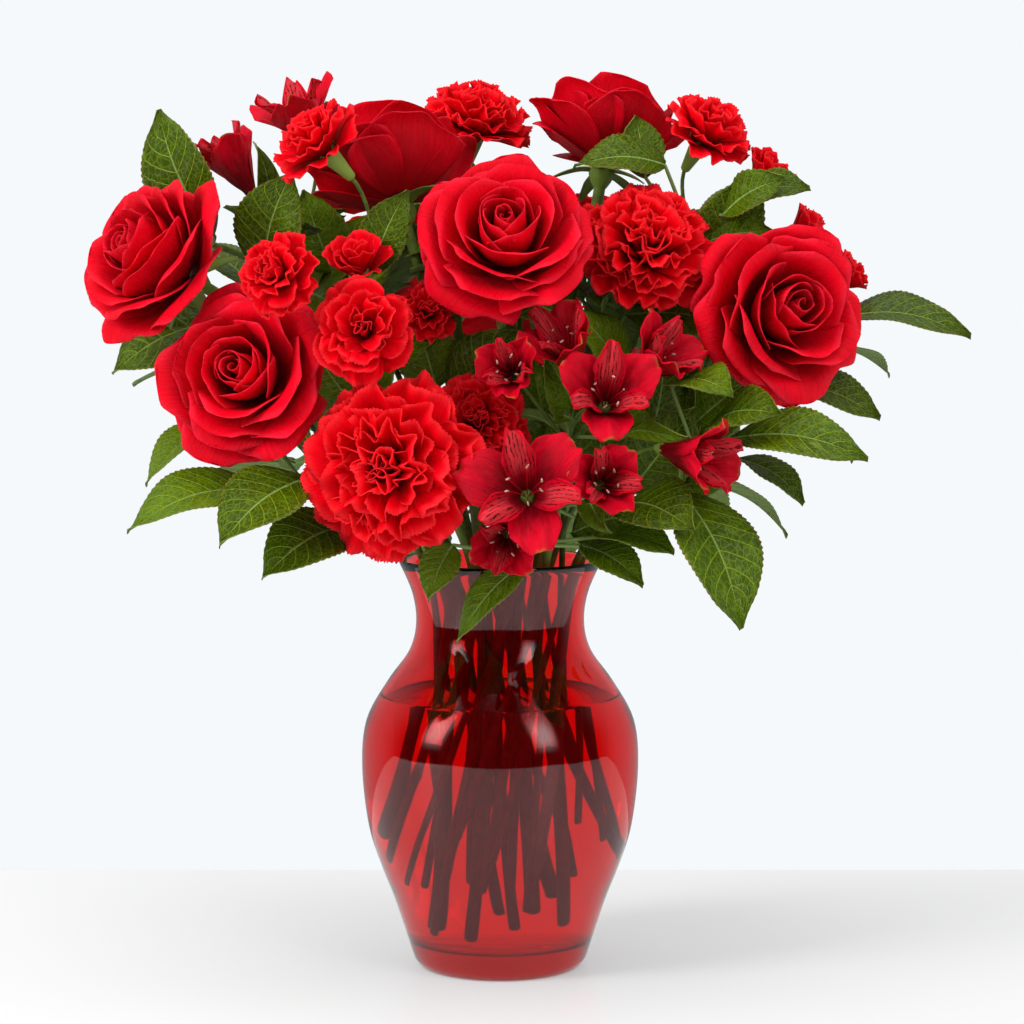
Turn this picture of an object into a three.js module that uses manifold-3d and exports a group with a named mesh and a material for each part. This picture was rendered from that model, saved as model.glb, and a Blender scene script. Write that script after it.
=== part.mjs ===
// A round bouquet of red roses, carnations, spray carnations and alstroemeria with salal leaves,
// standing in a red glass vase of water.
//
// Millimetres, +Z up. The origin is the middle of the vase's foot and the front faces -Y.
// A direction is [azimuth, elevation] in degrees: azimuth 0 is the front, 90 the right (+X).
// A flower is made in its own frame, with its base at the origin and its face along +Z.

import * as THREE from "three";
import { mergeVertices } from "three/addons/utils/BufferGeometryUtils.js";
import Module from "manifold-3d";

const wasm = await Module();
wasm.setup();
const { Manifold, Mesh } = wasm;

// ---------------------------------------------------------------- driving dimensions

const GAP = 0.35; // clearance between pieces that touch
const HOLE_SPARE = 1; // how far a stem's hole in the water runs past the stem's end
const VASE_HEIGHT = 200;
const VASE_WALL = 3.5;
const VASE_FLOOR = 13; // thickness of the heavy glass bottom
const VASE_SIDES = 20;
const VASE_CORNER = 6; // height and width of the slope between the bottom and the wall, inside
const WATER_LEVEL = 132;
// The outside of the vase, [radius, height] from foot to rim.
const VASE_OUTSIDE = [
  [38.5, 0], [42.5, 4], [51.6, 32], [58.6, 50], [64.6, 70], [67.6, 98],
  [65.4, 121], [55, 140], [44.4, 155], [41, 169], [43, 184], [50, VASE_HEIGHT],
];

const BLADE = 0.9; // thickness of petals and leaves
const LEAF_WIDTH_SHARE = 0.56; // of a salal leaf's length, unless it is given
const LEAF_STALK_WIDTH = 2.4;
const SMALL_LEAF = 47; // leaves shorter than this have fewer facets

const STEM_RADIUS = { rose: 2.7, carnation: 2.2, spray: 1.8, alstroemeria: 2.1, salal: 1.7 };
const STEM_SIDES = 4;
const TWIG_SIDES = 3;
const SALAL_REACH = 0.55; // how long a leafy stem goes on straight above the neck
const BEND_STEPS = 4; // straight pieces that the bent part of a stem is made of
const TWIG_RADIUS = 1.2;
const SPRAY_CALYX_SCALE = 0.62; // of a spray carnation's calyx to a large carnation's
const BUD_TOP = [[8.5, 10], [0, 20]]; // the profile of a closed bud above its calyx

// The stems pass the neck in three rings and lean all the same way, as in a hand-tied spiral,
// so that they never cross: the rings stay inside each other from the neck to the feet of the
// stems, where they fan out to footRadius at footZ. Each stem is cut to a length of its own.
const NECK_Z = 168;
const STEM_RINGS = {
  inner: { radius: 9, count: 5, first: 2, footRadius: 13, footZ: 17 },
  middle: { radius: 20, count: 9, first: 0, footRadius: 31, footZ: 20 },
  outer: { radius: 31.5, count: 14, first: 2, footRadius: 48, footZ: 46 },
};
const SPIRAL_TWIST = 62; // degrees between the neck and the feet

// ---------------------------------------------------------------- the flowers and where they are

// at: the base of the bloom. face: where it looks. slot: the stem's place in the neck.
const ROSES = {
  rose_left: {
    at: [-149, -24, 337], face: [-52, 26],
    size: 1.02, open: 0.9, spin: 20, slot: ["middle", 7],
  },
  rose_upper_left: {
    at: [-48, -10, 372], face: [-152, 56],
    size: 1.04, open: 0.75, spin: 50, slot: ["inner", 4],
  },
  rose_lower_left: {
    at: [-111, -46, 287], face: [-16, 14],
    size: 1.02, open: 0.95, spin: 10, slot: ["outer", 12],
  },
  rose_centre: {
    at: [4, -44, 345], face: [-3, 32],
    size: 1.0, open: 1, spin: 75, slot: ["inner", 0],
  },
  rose_top: {
    at: [50, 22, 391], face: [160, 70],
    size: 0.94, open: 0.65, spin: 0, slot: ["inner", 2],
  },
  rose_right: {
    at: [125, -22, 316], face: [24, 12],
    size: 1.05, open: 0.95, spin: 40, slot: ["outer", 3],
  },
  rose_back_left: {
    at: [-66, 70, 322], face: [-142, 28],
    size: 0.98, open: 0.9, spin: 15, slot: ["middle", 5],
  },
  rose_back_right: {
    at: [80, 66, 300], face: [138, 20],
    size: 1.0, open: 0.95, spin: 60, slot: ["middle", 3],
  },
};

const CARNATIONS = {
  carnation_front: { at: [-45, -74, 249], face: [-14, 3], size: 1.1, spin: 10, slot: ["outer", 13] },
  carnation_right: { at: [67, -20, 344], face: [14, 36], size: 0.92, spin: 30, slot: ["inner", 1] },
  carnation_top: { at: [-14, 40, 404], face: [60, 72], size: 0.74, spin: 0, slot: ["inner", 3] },
  carnation_middle: { at: [-9, -45, 268], face: [-4, 14], size: 0.62, spin: 50, slot: ["middle", 0] },
  carnation_back: { at: [4, 84, 318], face: [176, 22], size: 1.0, spin: 20, slot: ["outer", 7] },
};

// A spray or an umbel is one stem that forks into several flowers.
// fork: where its side shoots begin. Its buds stay closed and belong to the green stem.
const SPRAYS = {
  spray_left: {
    slot: ["middle", 8],
    fork: [-52, -22, 300],
    blooms: {
      top: { at: [-79, -43, 393], face: [-62, 42], size: 1.05, spin: 0 },
      side: { at: [-96, -82, 335], face: [-35, 20], size: 0.92, spin: 30 },
      low: { at: [-60, -80, 310], face: [-6, 14], size: 1.1, spin: 60 },
      inner: { at: [-33, -42, 318], face: [-5, 25], size: 0.7, spin: 15 },
    },
    buds: [{ at: [-65, -46, 336], face: [-5, 50], size: 1.15 }],
  },
  spray_right: {
    slot: ["middle", 2],
    fork: [98, 8, 330],
    blooms: { top: { at: [96, 2, 400], face: [42, 50], size: 1.05, spin: 20 } },
    buds: [
      { at: [122, 2, 378], face: [60, 48], size: 1.1 },
      { at: [138, 0, 352], face: [78, 36], size: 1.1 },
      { at: [160, 12, 332], face: [80, 30], size: 1.0 },
    ],
  },
  spray_back: {
    slot: ["middle", 4],
    fork: [10, 60, 318],
    blooms: {
      left: { at: [-26, 74, 362], face: [-160, 42], size: 1.05, spin: 0 },
      right: { at: [42, 72, 356], face: [152, 40], size: 1.0, spin: 45 },
    },
    buds: [{ at: [10, 86, 372], face: [172, 56], size: 1.1 }],
  },
};

const UMBELS = {
  alstroemeria_middle: {
    slot: ["middle", 1],
    fork: [32, -42, 262],
    blooms: {
      left: { at: [8, -66, 290], face: [-12, 16], size: 0.78, open: 0.45, spin: 0 },
      top: { at: [36, -54, 292], face: [-30, 46], size: 0.95, open: 0.5, spin: 30 },
      right: { at: [62, -52, 290], face: [50, 34], size: 0.95, open: 0.5, spin: 10 },
      low: { at: [48, -66, 275], face: [4, 26], size: 1.0, open: 0.75, spin: 0 },
    },
    leaves: [{ from: [56, -54, 262], to: [86, -86, 264], width: 11, face: [10, 60] }],
  },
  alstroemeria_front: {
    slot: ["outer", 1],
    fork: [26, -48, 230],
    blooms: {
      open: { at: [13, -88, 236], face: [-4, 18], size: 1.08, open: 1, spin: 12 },
      low: { at: [4, -66, 219], face: [-4, -10], size: 0.8, open: 0.5, spin: 40 },
      right: { at: [74, -68, 258], face: [52, -8], size: 1.05, open: 0.35, spin: 0 },
      upper: { at: [45, -80, 241], face: [10, 14], size: 0.85, open: 0.5, spin: 30 },
    },
    leaves: [{ from: [40, -64, 232], to: [50, -98, 222], width: 14, face: [20, 40] }],
  },
  alstroemeria_back: {
    slot: ["middle", 6],
    fork: [-98, 2, 350],
    blooms: {
      top: { at: [-92, 32, 398], face: [-60, 66], size: 1.0, open: 0.6, spin: 0 },
      side: { at: [-120, 10, 376], face: [-80, 58], size: 0.95, open: 0.4, spin: 20 },
    },
    buds: [{ at: [-84, 44, 408], face: [-170, 76], size: 0.8 }],
    leaves: [{ from: [-104, -4, 362], to: [-116, -26, 400], width: 13, face: [-30, 20] }],
  },
};

// Leafy stems. tip: the stem's end. A leaf runs from its stalk's end to its point, and face is
// where its upper side looks.
const SALALS = {
  salal_upper_left: {
    slot: ["outer", 9],
    tip: [-140, 12, 352],
    leaves: [
      { from: [-138, 2, 356], to: [-165, 4, 417], face: [-40, 30] },
      { from: [-112, -26, 338], to: [-98, -29, 386], width: 38, face: [-20, 25] },
      { from: [-120, 30, 330], to: [-168, 62, 352], face: [-120, 50] },
    ],
  },
  salal_left: {
    slot: ["outer", 10],
    tip: [-141, -26, 302],
    leaves: [
      { from: [-134, 4, 316], to: [-188, 0, 290], width: 44, face: [-20, 40] },
      { from: [-128, -26, 268], to: [-166, -50, 240], face: [-45, 45] },
      { from: [-122, 0, 290], to: [-180, 14, 284], face: [-80, 60] },
    ],
  },
  salal_lower_left: {
    slot: ["outer", 11],
    tip: [-104, -50, 246],
    leaves: [
      { from: [-112, -58, 238], to: [-170, -84, 221], width: 40, face: [-20, 60] },
      { from: [-90, -72, 244], to: [-126, -102, 216], width: 40, face: [-15, 45] },
      { from: [-70, -56, 222], to: [-108, -88, 200], width: 38, face: [-10, 40] },
    ],
  },
  salal_front: {
    slot: ["outer", 0],
    tip: [14, -56, 212],
    leaves: [
      { from: [-22, -54, 212], to: [-33, -66, 187], width: 20, face: [-15, 30] },
      { from: [14, -59, 206], to: [-20, -70, 168], width: 19, face: [-20, 40] },
      { from: [44, -56, 216], to: [80, -82, 211], width: 26, face: [20, 55] },
      { from: [38, -58, 212], to: [66, -80, 196], width: 22, face: [20, 35] },
    ],
  },
  salal_lower_right: {
    slot: ["outer", 2],
    tip: [100, -58, 258],
    leaves: [
      { from: [106, -62, 262], to: [168, -84, 254], width: 34, face: [10, 50] },
      { from: [84, -68, 238], to: [110, -98, 178], width: 42, face: [25, 30] },
      { from: [56, -58, 231], to: [88, -102, 223], width: 38, face: [0, 45] },
      { from: [97, -54, 267], to: [128, -88, 275], width: 32, face: [-10, 50] },
      { from: [80, -48, 286], to: [106, -86, 284], width: 28, face: [0, 55] },
      { from: [110, -44, 252], to: [142, -58, 232], face: [40, 45] },
    ],
  },
  salal_right: {
    slot: ["outer", 5],
    tip: [158, 8, 312],
    leaves: [
      { from: [160, 4, 316], to: [227, -6, 308], width: 36, face: [40, 55] },
      { from: [134, -16, 284], to: [180, -34, 270], width: 32, face: [30, 50] },
      { from: [148, 20, 300], to: [196, 52, 288], face: [110, 55] },
      { from: [128, 20, 270], to: [176, 34, 246], face: [90, 50] },
    ],
  },
  salal_upper_right: {
    slot: ["outer", 4],
    tip: [94, -4, 368],
    leaves: [
      { from: [79, -12, 390], to: [35, -22, 389], width: 28, face: [5, 50] },
      { from: [70, -6, 384], to: [65, -4, 414], width: 22, face: [0, 20] },
      { from: [112, -14, 371], to: [146, -30, 379], width: 26, face: [0, 50] },
      { from: [106, -20, 366], to: [134, -34, 383], width: 24, face: [0, 40] },
      { from: [98, 26, 366], to: [136, 48, 378], face: [120, 55] },
    ],
  },
  salal_back_left: {
    slot: ["outer", 8],
    tip: [-104, 78, 262],
    leaves: [
      { from: [-108, 78, 268], to: [-160, 102, 278], face: [-120, 60] },
      { from: [-92, 78, 244], to: [-126, 118, 220], face: [-135, 45] },
      { from: [-66, 78, 240], to: [-60, 132, 226], face: [-160, 50] },
      { from: [-104, 54, 244], to: [-156, 66, 222], face: [-110, 45] },
      { from: [-48, 66, 222], to: [-30, 96, 180], width: 32, face: [-165, 30] },
    ],
  },
  salal_back_right: {
    slot: ["outer", 6],
    tip: [104, 74, 244],
    leaves: [
      { from: [110, 74, 248], to: [164, 94, 250], face: [120, 60] },
      { from: [88, 78, 232], to: [118, 112, 204], face: [140, 45] },
      { from: [58, 76, 240], to: [44, 130, 232], face: [165, 50] },
      { from: [96, 50, 234], to: [146, 58, 206], face: [105, 45] },
      { from: [42, 66, 222], to: [20, 98, 184], width: 32, face: [170, 30] },
    ],
  },
};

// ---------------------------------------------------------------- materials

const FINISHES = {
  glass: { color: 0xb4101c, roughness: 0.05, metalness: 0, transparent: true, opacity: 0.45 },
  water: { color: 0xc8dde0, roughness: 0.02, metalness: 0, transparent: true, opacity: 0.35 },
  rose: { color: 0xb8060f, roughness: 0.6, metalness: 0 },
  carnation: { color: 0xdc1b12, roughness: 0.7, metalness: 0 },
  alstroemeria: { color: 0xa20e22, roughness: 0.5, metalness: 0 },
  stem: { color: 0x6a8a34, roughness: 0.55, metalness: 0 },
  leaf: { color: 0x3f6f22, roughness: 0.4, metalness: 0 },
};
const materials = Object.fromEntries(
  Object.entries(FINISHES).map(([name, looks]) => [name, new THREE.MeshStandardMaterial(looks)]),
);

// ---------------------------------------------------------------- small helpers

const radians = THREE.MathUtils.degToRad;
const lerp = THREE.MathUtils.lerp;
const point = ([x, y, z]) => new THREE.Vector3(x, y, z);
const AXIS = new THREE.Vector3(0, 0, 1);
const ONES = new THREE.Vector3(1, 1, 1);

function direction([azimuth, elevation]) {
  const level = Math.cos(radians(elevation));
  const a = radians(azimuth);
  return new THREE.Vector3(Math.sin(a) * level, -Math.cos(a) * level, Math.sin(radians(elevation)));
}

// The frame of a flower: base at the origin, face along +Z, turned about its own axis by spin.
function placing({ at, face, spin = 0 }) {
  const turn = new THREE.Quaternion().setFromUnitVectors(AXIS, direction(face));
  const about = new THREE.Quaternion().setFromAxisAngle(AXIS, radians(spin));
  return new THREE.Matrix4().compose(point(at), turn.multiply(about), ONES);
}

function solid(positions, triangles) {
  return new Manifold(new Mesh({ numProp: 3, vertProperties: positions, triVerts: triangles }));
}

function solidOf(geometry, matrix = new THREE.Matrix4()) {
  const bare = new THREE.BufferGeometry();
  bare.setAttribute("position", geometry.getAttribute("position").clone());
  bare.setIndex(geometry.index);
  const merged = mergeVertices(bare.applyMatrix4(matrix), 1e-3);
  return solid(merged.attributes.position.array, new Uint32Array(merged.index.array));
}

// Joins solids into one, which has to hold together. Scraps without volume are dropped.
function join(solids) {
  const bodies = Manifold.union(solids).decompose().filter((body) => body.volume() > 0.01);
  if (bodies.length > 1) throw new Error(`loose bodies of ${bodies.map((body) => body.volume())}`);
  return bodies[0];
}

function meshOf(name, made, finish, matrix = new THREE.Matrix4()) {
  const { vertProperties, triVerts } = made.getMesh();
  const geometry = new THREE.BufferGeometry();
  geometry.setAttribute("position", new THREE.BufferAttribute(vertProperties, 3));
  geometry.setIndex(new THREE.BufferAttribute(triVerts, 1));
  geometry.computeVertexNormals();
  const mesh = new THREE.Mesh(geometry, materials[finish]);
  mesh.name = name;
  mesh.applyMatrix4(matrix);
  return mesh;
}

// The corners and triangles of a sheet of even thickness through rows of points. A row may be
// shorter than the next or a single point, and both faces are split into triangles alike. The
// sheet is closed all round, but with a root, four corners that it starts from, it stays open there.
function sheet(rows, thickness, root) {
  const columns = Math.max(...rows.map((row) => row.length));
  const last = rows.length - 1;
  const spot = (row, c) => Math.round((c * (row.length - 1)) / (columns - 1));
  const at = (r, c) => rows[r][spot(rows[r], c)];
  const normal = (r, c) => {
    const wide = rows[r].length > 1 ? r : Math.abs(r - 1);
    const along = at(Math.min(r + 1, last), c).clone().sub(at(Math.max(r - 1, 0), c));
    const across = at(wide, Math.min(c + 1, columns - 1)).clone().sub(at(wide, Math.max(c - 1, 0)));
    return across.cross(along).normalize();
  };
  const corners = [];
  const index = rows.map((row, r) =>
    row.map((p, c) => {
      const column = row.length > 1 ? Math.round((c * (columns - 1)) / (row.length - 1)) : columns >> 1;
      const half = normal(r, column).multiplyScalar(thickness / 2);
      const pair = root && r === 0 ? root[c] : [p.clone().add(half), p.clone().sub(half)];
      corners.push(...pair);
      return corners.length - 2;
    }),
  );
  const id = (r, c) => index[r][spot(rows[r], c)];
  const triangles = [];
  const add = (...corner) => {
    if (new Set(corner).size === 3) triangles.push(...corner);
  };
  const wall = (from, to) => {
    add(from, to, to + 1);
    add(from, to + 1, from + 1);
  };
  for (let r = 0; r < last; r++) {
    for (let c = 0; c < columns - 1; c++) {
      const [a, b, d, e] = [id(r, c), id(r, c + 1), id(r + 1, c), id(r + 1, c + 1)];
      add(a, b, e);
      add(a, e, d);
      add(a + 1, e + 1, b + 1);
      add(a + 1, d + 1, e + 1);
    }
    wall(id(r, 0), id(r + 1, 0));
    wall(id(r + 1, columns - 1), id(r, columns - 1));
  }
  for (let c = 0; c < columns - 1; c++) {
    if (!root && id(0, c) !== id(0, c + 1)) wall(id(0, c + 1), id(0, c));
    if (id(last, c) !== id(last, c + 1)) wall(id(last, c), id(last, c + 1));
  }
  return { corners, triangles };
}

function sheetSolid(sheets) {
  const positions = [];
  const index = [];
  for (const { corners, triangles } of sheets) {
    const start = positions.length / 3;
    index.push(...triangles.map((corner) => corner + start));
    positions.push(...corners.flatMap((p) => p.toArray()));
  }
  const geometry = new THREE.BufferGeometry();
  geometry.setAttribute("position", new THREE.Float32BufferAttribute(positions, 3));
  geometry.setIndex(index);
  return solidOf(geometry);
}

const blade = (rows, thickness = BLADE) => sheetSolid([sheet(rows, thickness)]);

function lathe(profile, sides, matrix) {
  const points = profile.map(([r, z]) => new THREE.Vector2(r, z));
  const upright = new THREE.Matrix4().makeRotationX(Math.PI / 2);
  return solidOf(new THREE.LatheGeometry(points, sides).applyMatrix4(upright), matrix);
}

function tube(curve, radius, steps, sides = STEM_SIDES) {
  const section = new THREE.Shape();
  for (let i = 0; i < sides; i++) {
    const a = (i / sides) * 2 * Math.PI;
    const corner = [radius * Math.cos(a), radius * Math.sin(a)];
    if (i === 0) section.moveTo(...corner);
    else section.lineTo(...corner);
  }
  return solidOf(new THREE.ExtrudeGeometry(section, { steps, extrudePath: curve }));
}

// ---------------------------------------------------------------- petals

// One petal, as rows of points round the flower's axis, one row at each of levels. Its middle
// line starts at radius base and leans away from the axis by the three angles in lean, in turn.
// wrap flattens it across, skew puts one edge outside its neighbour, fall rounds its top, and
// frill waves its edge.
function petal({ length, base, foot, lean, width, wrap = 1, skew = 0, fall = 0.2, frill = 0,
  columns, levels, pointed = false }) {
  const STEPS = 24;
  const leanAt = (s) =>
    radians(lean[0] * (1 - s) ** 2 + 2 * lean[1] * s * (1 - s) + lean[2] * s ** 2);
  const line = [[base, foot]];
  for (let i = 1; i <= STEPS; i++) {
    const angle = leanAt((i - 0.5) / STEPS);
    const [r, z] = line[i - 1];
    line.push([r + (Math.sin(angle) * length) / STEPS, z + (Math.cos(angle) * length) / STEPS]);
  }
  const across = (level, u, i) => {
    const s = level * (1 - fall * Math.abs(u) ** 3);
    const [r, z] = line[Math.round(s * STEPS)];
    const bend = wrap * Math.max(r, 2.5);
    const angle = (u * width * Math.sin((Math.min(s / 0.7, 1) * Math.PI) / 2)) / bend;
    const outward = new THREE.Vector3(Math.cos(leanAt(s)), 0, -Math.sin(leanAt(s)));
    return new THREE.Vector3(r - bend + bend * Math.cos(angle), bend * Math.sin(angle), z)
      .addScaledVector(outward, skew * u * s + frill * s * s * (i % 2 ? 1 : -1));
  };
  const rows = levels.map((level) =>
    Array.from({ length: columns + 1 }, (_, i) => across(level, (2 * i) / columns - 1, i)),
  );
  return pointed ? [...rows, [across(1, 0, 0)]] : rows;
}

// A ring of petals that grow from the sides of one small flat disc, as one closed solid. The
// shapes take turns round the ring and share their base and foot.
function whorl(count, first, ...shapes) {
  const { base, foot } = shapes[0];
  const disc = (side, z) => {
    const a = radians(first) + ((2 * side - 1) * Math.PI) / count;
    return new THREE.Vector3(base * Math.cos(a), base * Math.sin(a), z);
  };
  const petals = Array.from({ length: count }, (_, i) => {
    const turn = radians(first + (360 * i) / count);
    const upright = petal(shapes[i % shapes.length]);
    const rows = upright.map((row) => row.map((p) => p.applyAxisAngle(AXIS, turn)));
    const root = [i, i + 1].map((side) => [disc(side, foot), disc(side, foot + BLADE)]);
    return sheet([root.map(([bottom]) => bottom), ...rows], BLADE, root);
  });
  const rim = Array.from({ length: count }, (_, i) => [disc(i, foot + BLADE), disc(i, foot)]);
  const faces = { corners: rim.flat(), triangles: [] };
  for (let i = 1; i < count - 1; i++) {
    faces.triangles.push(0, 2 * i, 2 * i + 2, 1, 2 * i + 3, 2 * i + 1);
  }
  return sheetSolid([...petals, faces]);
}

const scaled = (shape, scale) => ({
  ...shape, length: shape.length * scale, base: shape.base * scale, foot: shape.foot * scale,
  width: shape.width * scale,
});

// A bloom: whorls of petals threaded on a closed middle, whose profile is [radius, height].
function bloom(size, middle, tiers) {
  const whorls = tiers.map(([count, first, ...shapes]) =>
    whorl(count, first, ...shapes.map((shape) => scaled(shape, size))),
  );
  return join([lathe(middle.map(([r, z]) => [r * size, z * size]), 4), ...whorls]);
}

function roseBloom({ size, open }) {
  const spread = (angles) => angles.map((a) => a * lerp(0.55, 1, open));
  const inner = {
    length: 40, base: 4, foot: 6, lean: [50, 14, 0], width: 13, skew: 3,
    columns: 2, levels: [0.5, 1],
  };
  const middle = {
    ...inner, length: 43, base: 5, foot: 3.5, lean: spread([70, 32, 14]), width: 19, skew: 4,
    levels: [0.4, 1],
  };
  const outer = {
    ...middle, base: 6, foot: 1, lean: spread([84, 42, 64]), width: 23, wrap: 1.15, skew: 6,
    fall: 0.3, columns: 3,
  };
  const heart = [[0, 0], [3, 0], [3, 8], [8, 17], [8, 30], [4, 40], [0, 38]];
  return bloom(size, heart, [[3, 0, inner], [4, 30, middle], [5, 10, outer]]);
}

function carnationBloom({ size }) {
  const outer = {
    length: 36, base: 4.5, foot: 1, lean: [66, 74, 84], width: 15, wrap: 1.4, skew: 3,
    frill: 2.4, fall: 0.12, columns: 4, levels: [1],
  };
  const middle = { ...outer, foot: 3, lean: [40, 46, 56], width: 13 };
  const inner = { ...outer, length: 33, base: 4, foot: 5, lean: [20, 24, 32], width: 9 };
  const heart = [[0, 0], [3, 0], [3, 8], [7, 24], [3, 35], [0, 34]];
  return bloom(size, heart, [[7, 0, outer], [7, 25, middle], [4, 10, inner]]);
}

function sprayBloom({ size }) {
  const outer = {
    length: 21, base: 2.6, foot: 1, lean: [62, 72, 84], width: 12, wrap: 1.3, frill: 1.6,
    fall: 0.1, columns: 3, levels: [1],
  };
  const inner = { ...outer, length: 20, foot: 3, lean: [24, 30, 40], width: 9 };
  const heart = [[0, 0], [1.8, 0], [1.8, 5], [4, 13], [0, 18]];
  return bloom(size, heart, [[5, 0, outer], [3, 36, inner]]);
}

function alstroemeriaBloom({ size, open }) {
  const flare = (angles) => angles.map((a) => a * lerp(0.45, 1.25, open));
  const outer = {
    length: 36, base: 3, foot: 1.5, lean: flare([22, 36, 62]), width: 10.5, wrap: 1.4,
    fall: 0.1, columns: 2, levels: [0.62], pointed: true,
  };
  const inner = { ...outer, length: 38, lean: flare([12, 26, 50]), width: 6 };
  const heart = [[0, 0], [1.6, 0], [1.2, 14], [0, 16]];
  return bloom(size, heart, [[6, 30, outer, inner]]);
}

// ---------------------------------------------------------------- green parts

// A leaf from its stalk's end to its point: folded a little along the rib, bowed and waved. The
// blade goes on as its own flat stalk down to root, a place inside the stem.
function leaf({ from, to, face, width }, root) {
  const start = point(from);
  const along = point(to).sub(start);
  const length = along.length();
  const wide = width ?? LEAF_WIDTH_SHARE * length;
  const side = direction(face).cross(along).normalize();
  const up = along.clone().cross(side).normalize();
  const row = (t, half, wave) =>
    [-1, 0, 1].map((u) =>
      start.clone()
        .addScaledVector(along, t)
        .addScaledVector(side, u * half)
        .addScaledVector(up, 0.12 * length * Math.sin(Math.PI * t) + Math.abs(u) * (0.16 * half + wave * u)),
    );
  const stalk = [-1, 1].map((u) => start.clone().addScaledVector(side, u * LEAF_STALK_WIDTH / 2));
  const rows = length < SMALL_LEAF
    ? [row(0.3, 0.46 * wide, -1), row(0.72, 0.4 * wide, 1)]
    : [row(0.2, 0.36 * wide, -1.5), row(0.5, 0.5 * wide, 0), row(0.8, 0.29 * wide, 1.5)];
  return blade([[root], stalk, ...rows, [point(to)]]);
}

// Where the stem of a slot stands at height z, on its straight run between foot and neck.
function slotPoint([ring, index], z) {
  const { radius, count, first, footRadius, footZ } = STEM_RINGS[ring];
  const azimuth = first + (360 * index) / count;
  const top = direction([azimuth, 0]).multiplyScalar(radius).setZ(NECK_Z);
  const bottom = direction([azimuth - SPIRAL_TWIST, 0]).multiplyScalar(footRadius).setZ(footZ);
  return bottom.lerp(top, (z - footZ) / (NECK_Z - footZ));
}

const footOf = ([ring, index]) => STEM_RINGS[ring].footZ + ((index * 5) % 7) * 5;

// A smooth curve that leaves start along out and turns into the direction of end late.
function smooth(start, out, end, into, reach) {
  const far = start.distanceTo(end);
  const leaving = start.clone().addScaledVector(out, far * reach);
  const arriving = end.clone().addScaledVector(into, -far * 0.22);
  return new THREE.CubicBezierCurve3(start, leaving, arriving, end);
}

// A thin shoot from the end of a stem at fork. It starts to one side, clear of the other shoots.
function twig(fork, end, into, rise, reach) {
  const out = end.clone().sub(fork).normalize();
  const start = fork.clone().addScaledVector(out.clone().setZ(0), 0.9).add(new THREE.Vector3(0, 0, -2));
  out.z += rise;
  return tube(smooth(start, out.normalize(), end, into, reach), TWIG_RADIUS, 2, TWIG_SIDES);
}

// The bent part of a stem, from the neck to its end, and the whole stem.
function bend(slot, end, into, reach = 0.4) {
  const neck = slotPoint(slot, NECK_Z);
  const out = neck.clone().sub(slotPoint(slot, 0)).normalize();
  return smooth(neck, out, end, into, reach);
}

// A stem's path: one straight step from the foot to the neck, then even steps along the bend.
class StemPath extends THREE.Curve {
  constructor(foot, above, steps) {
    super();
    Object.assign(this, { below: new THREE.LineCurve3(foot, above.getPoint(0)), above, steps });
  }

  along(share, place) {
    const step = share * this.steps;
    return step <= 1 ? this.below[place](step) : this.above[place]((step - 1) / (this.steps - 1));
  }

  getPointAt(share) {
    return this.along(share, "getPointAt");
  }

  getTangentAt(share) {
    return this.along(share, "getTangentAt");
  }
}

function stem(slot, end, into, radius, reach) {
  const steps = BEND_STEPS + 1;
  const path = new StemPath(slotPoint(slot, footOf(slot)), bend(slot, end, into, reach), steps);
  return tube(path, radius, steps);
}

function roseStem({ at, face, size, spin, slot }) {
  const matrix = placing({ at, face, spin });
  const hip = [[0, -14], [3.4, -12], [6.4, -2.5], [0, -2.5]].map(([r, z]) => [r * size, z * size]);
  const sepals = whorl(5, 36, {
    length: 22 * size, base: 6.5 * size, foot: -3.2 * size, lean: [92, 112, 128], width: 1,
    columns: 1, levels: [], pointed: true,
  });
  const into = direction(face);
  return join([
    stem(slot, point(at).addScaledVector(into, -10 * size), into, STEM_RADIUS.rose),
    lathe(hip, 5, matrix),
    sepals.transform(matrix.elements),
  ]);
}

// The green tube that holds a carnation's petals, from its stalk to just under the bloom. A bud's
// ends in a tip, where the petals push out.
function calyx({ at, face, size }, sides, top = [[0, -GAP / size]]) {
  const profile = [[0, -24], [3.4, -23], [7, -GAP / size], ...top];
  return lathe(profile.map(([r, z]) => [r * size, z * size]), sides, placing({ at, face }));
}

function carnationStem({ at, face, size, slot }) {
  const into = direction(face);
  const end = point(at).addScaledVector(into, -21 * size);
  return join([stem(slot, end, into, STEM_RADIUS.carnation), calyx({ at, face, size }, 6)]);
}

// A small flower's calyx on its side shoot from the fork.
function sideShoot(fork, { at, face, size }, top) {
  const scale = size * SPRAY_CALYX_SCALE;
  const into = direction(face);
  const end = point(at).addScaledVector(into, -21 * scale);
  return [twig(fork, end, into, 0.6, 0.4), calyx({ at, face, size: scale }, 4, top)];
}

// The stem up to the fork, which it reaches on its way straight up from the neck.
function forkedStem({ slot, fork }, radius) {
  const split = point(fork);
  const up = split.clone().sub(slotPoint(slot, NECK_Z)).normalize();
  return { split, main: stem(slot, split, up, radius, 0.35) };
}

function sprayStem(spray) {
  const { split, main } = forkedStem(spray, STEM_RADIUS.spray);
  const shoots = Object.values(spray.blooms).flatMap((each) => sideShoot(split, each));
  return join([main, ...shoots, ...spray.buds.flatMap((each) => sideShoot(split, each, BUD_TOP))]);
}

function umbelStem(umbel) {
  const { split, main } = forkedStem(umbel, STEM_RADIUS.alstroemeria);
  const pedicels = Object.values(umbel.blooms).map(({ at, face }) => {
    const into = direction(face);
    return twig(split, point(at).addScaledVector(into, -GAP), into, 0, 0.3);
  });
  const buds = umbel.buds?.flatMap((each) => sideShoot(split, each, BUD_TOP)) ?? [];
  return join([main, ...pedicels, ...buds, ...umbel.leaves.map((each) => leaf(each, split))]);
}

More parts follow.
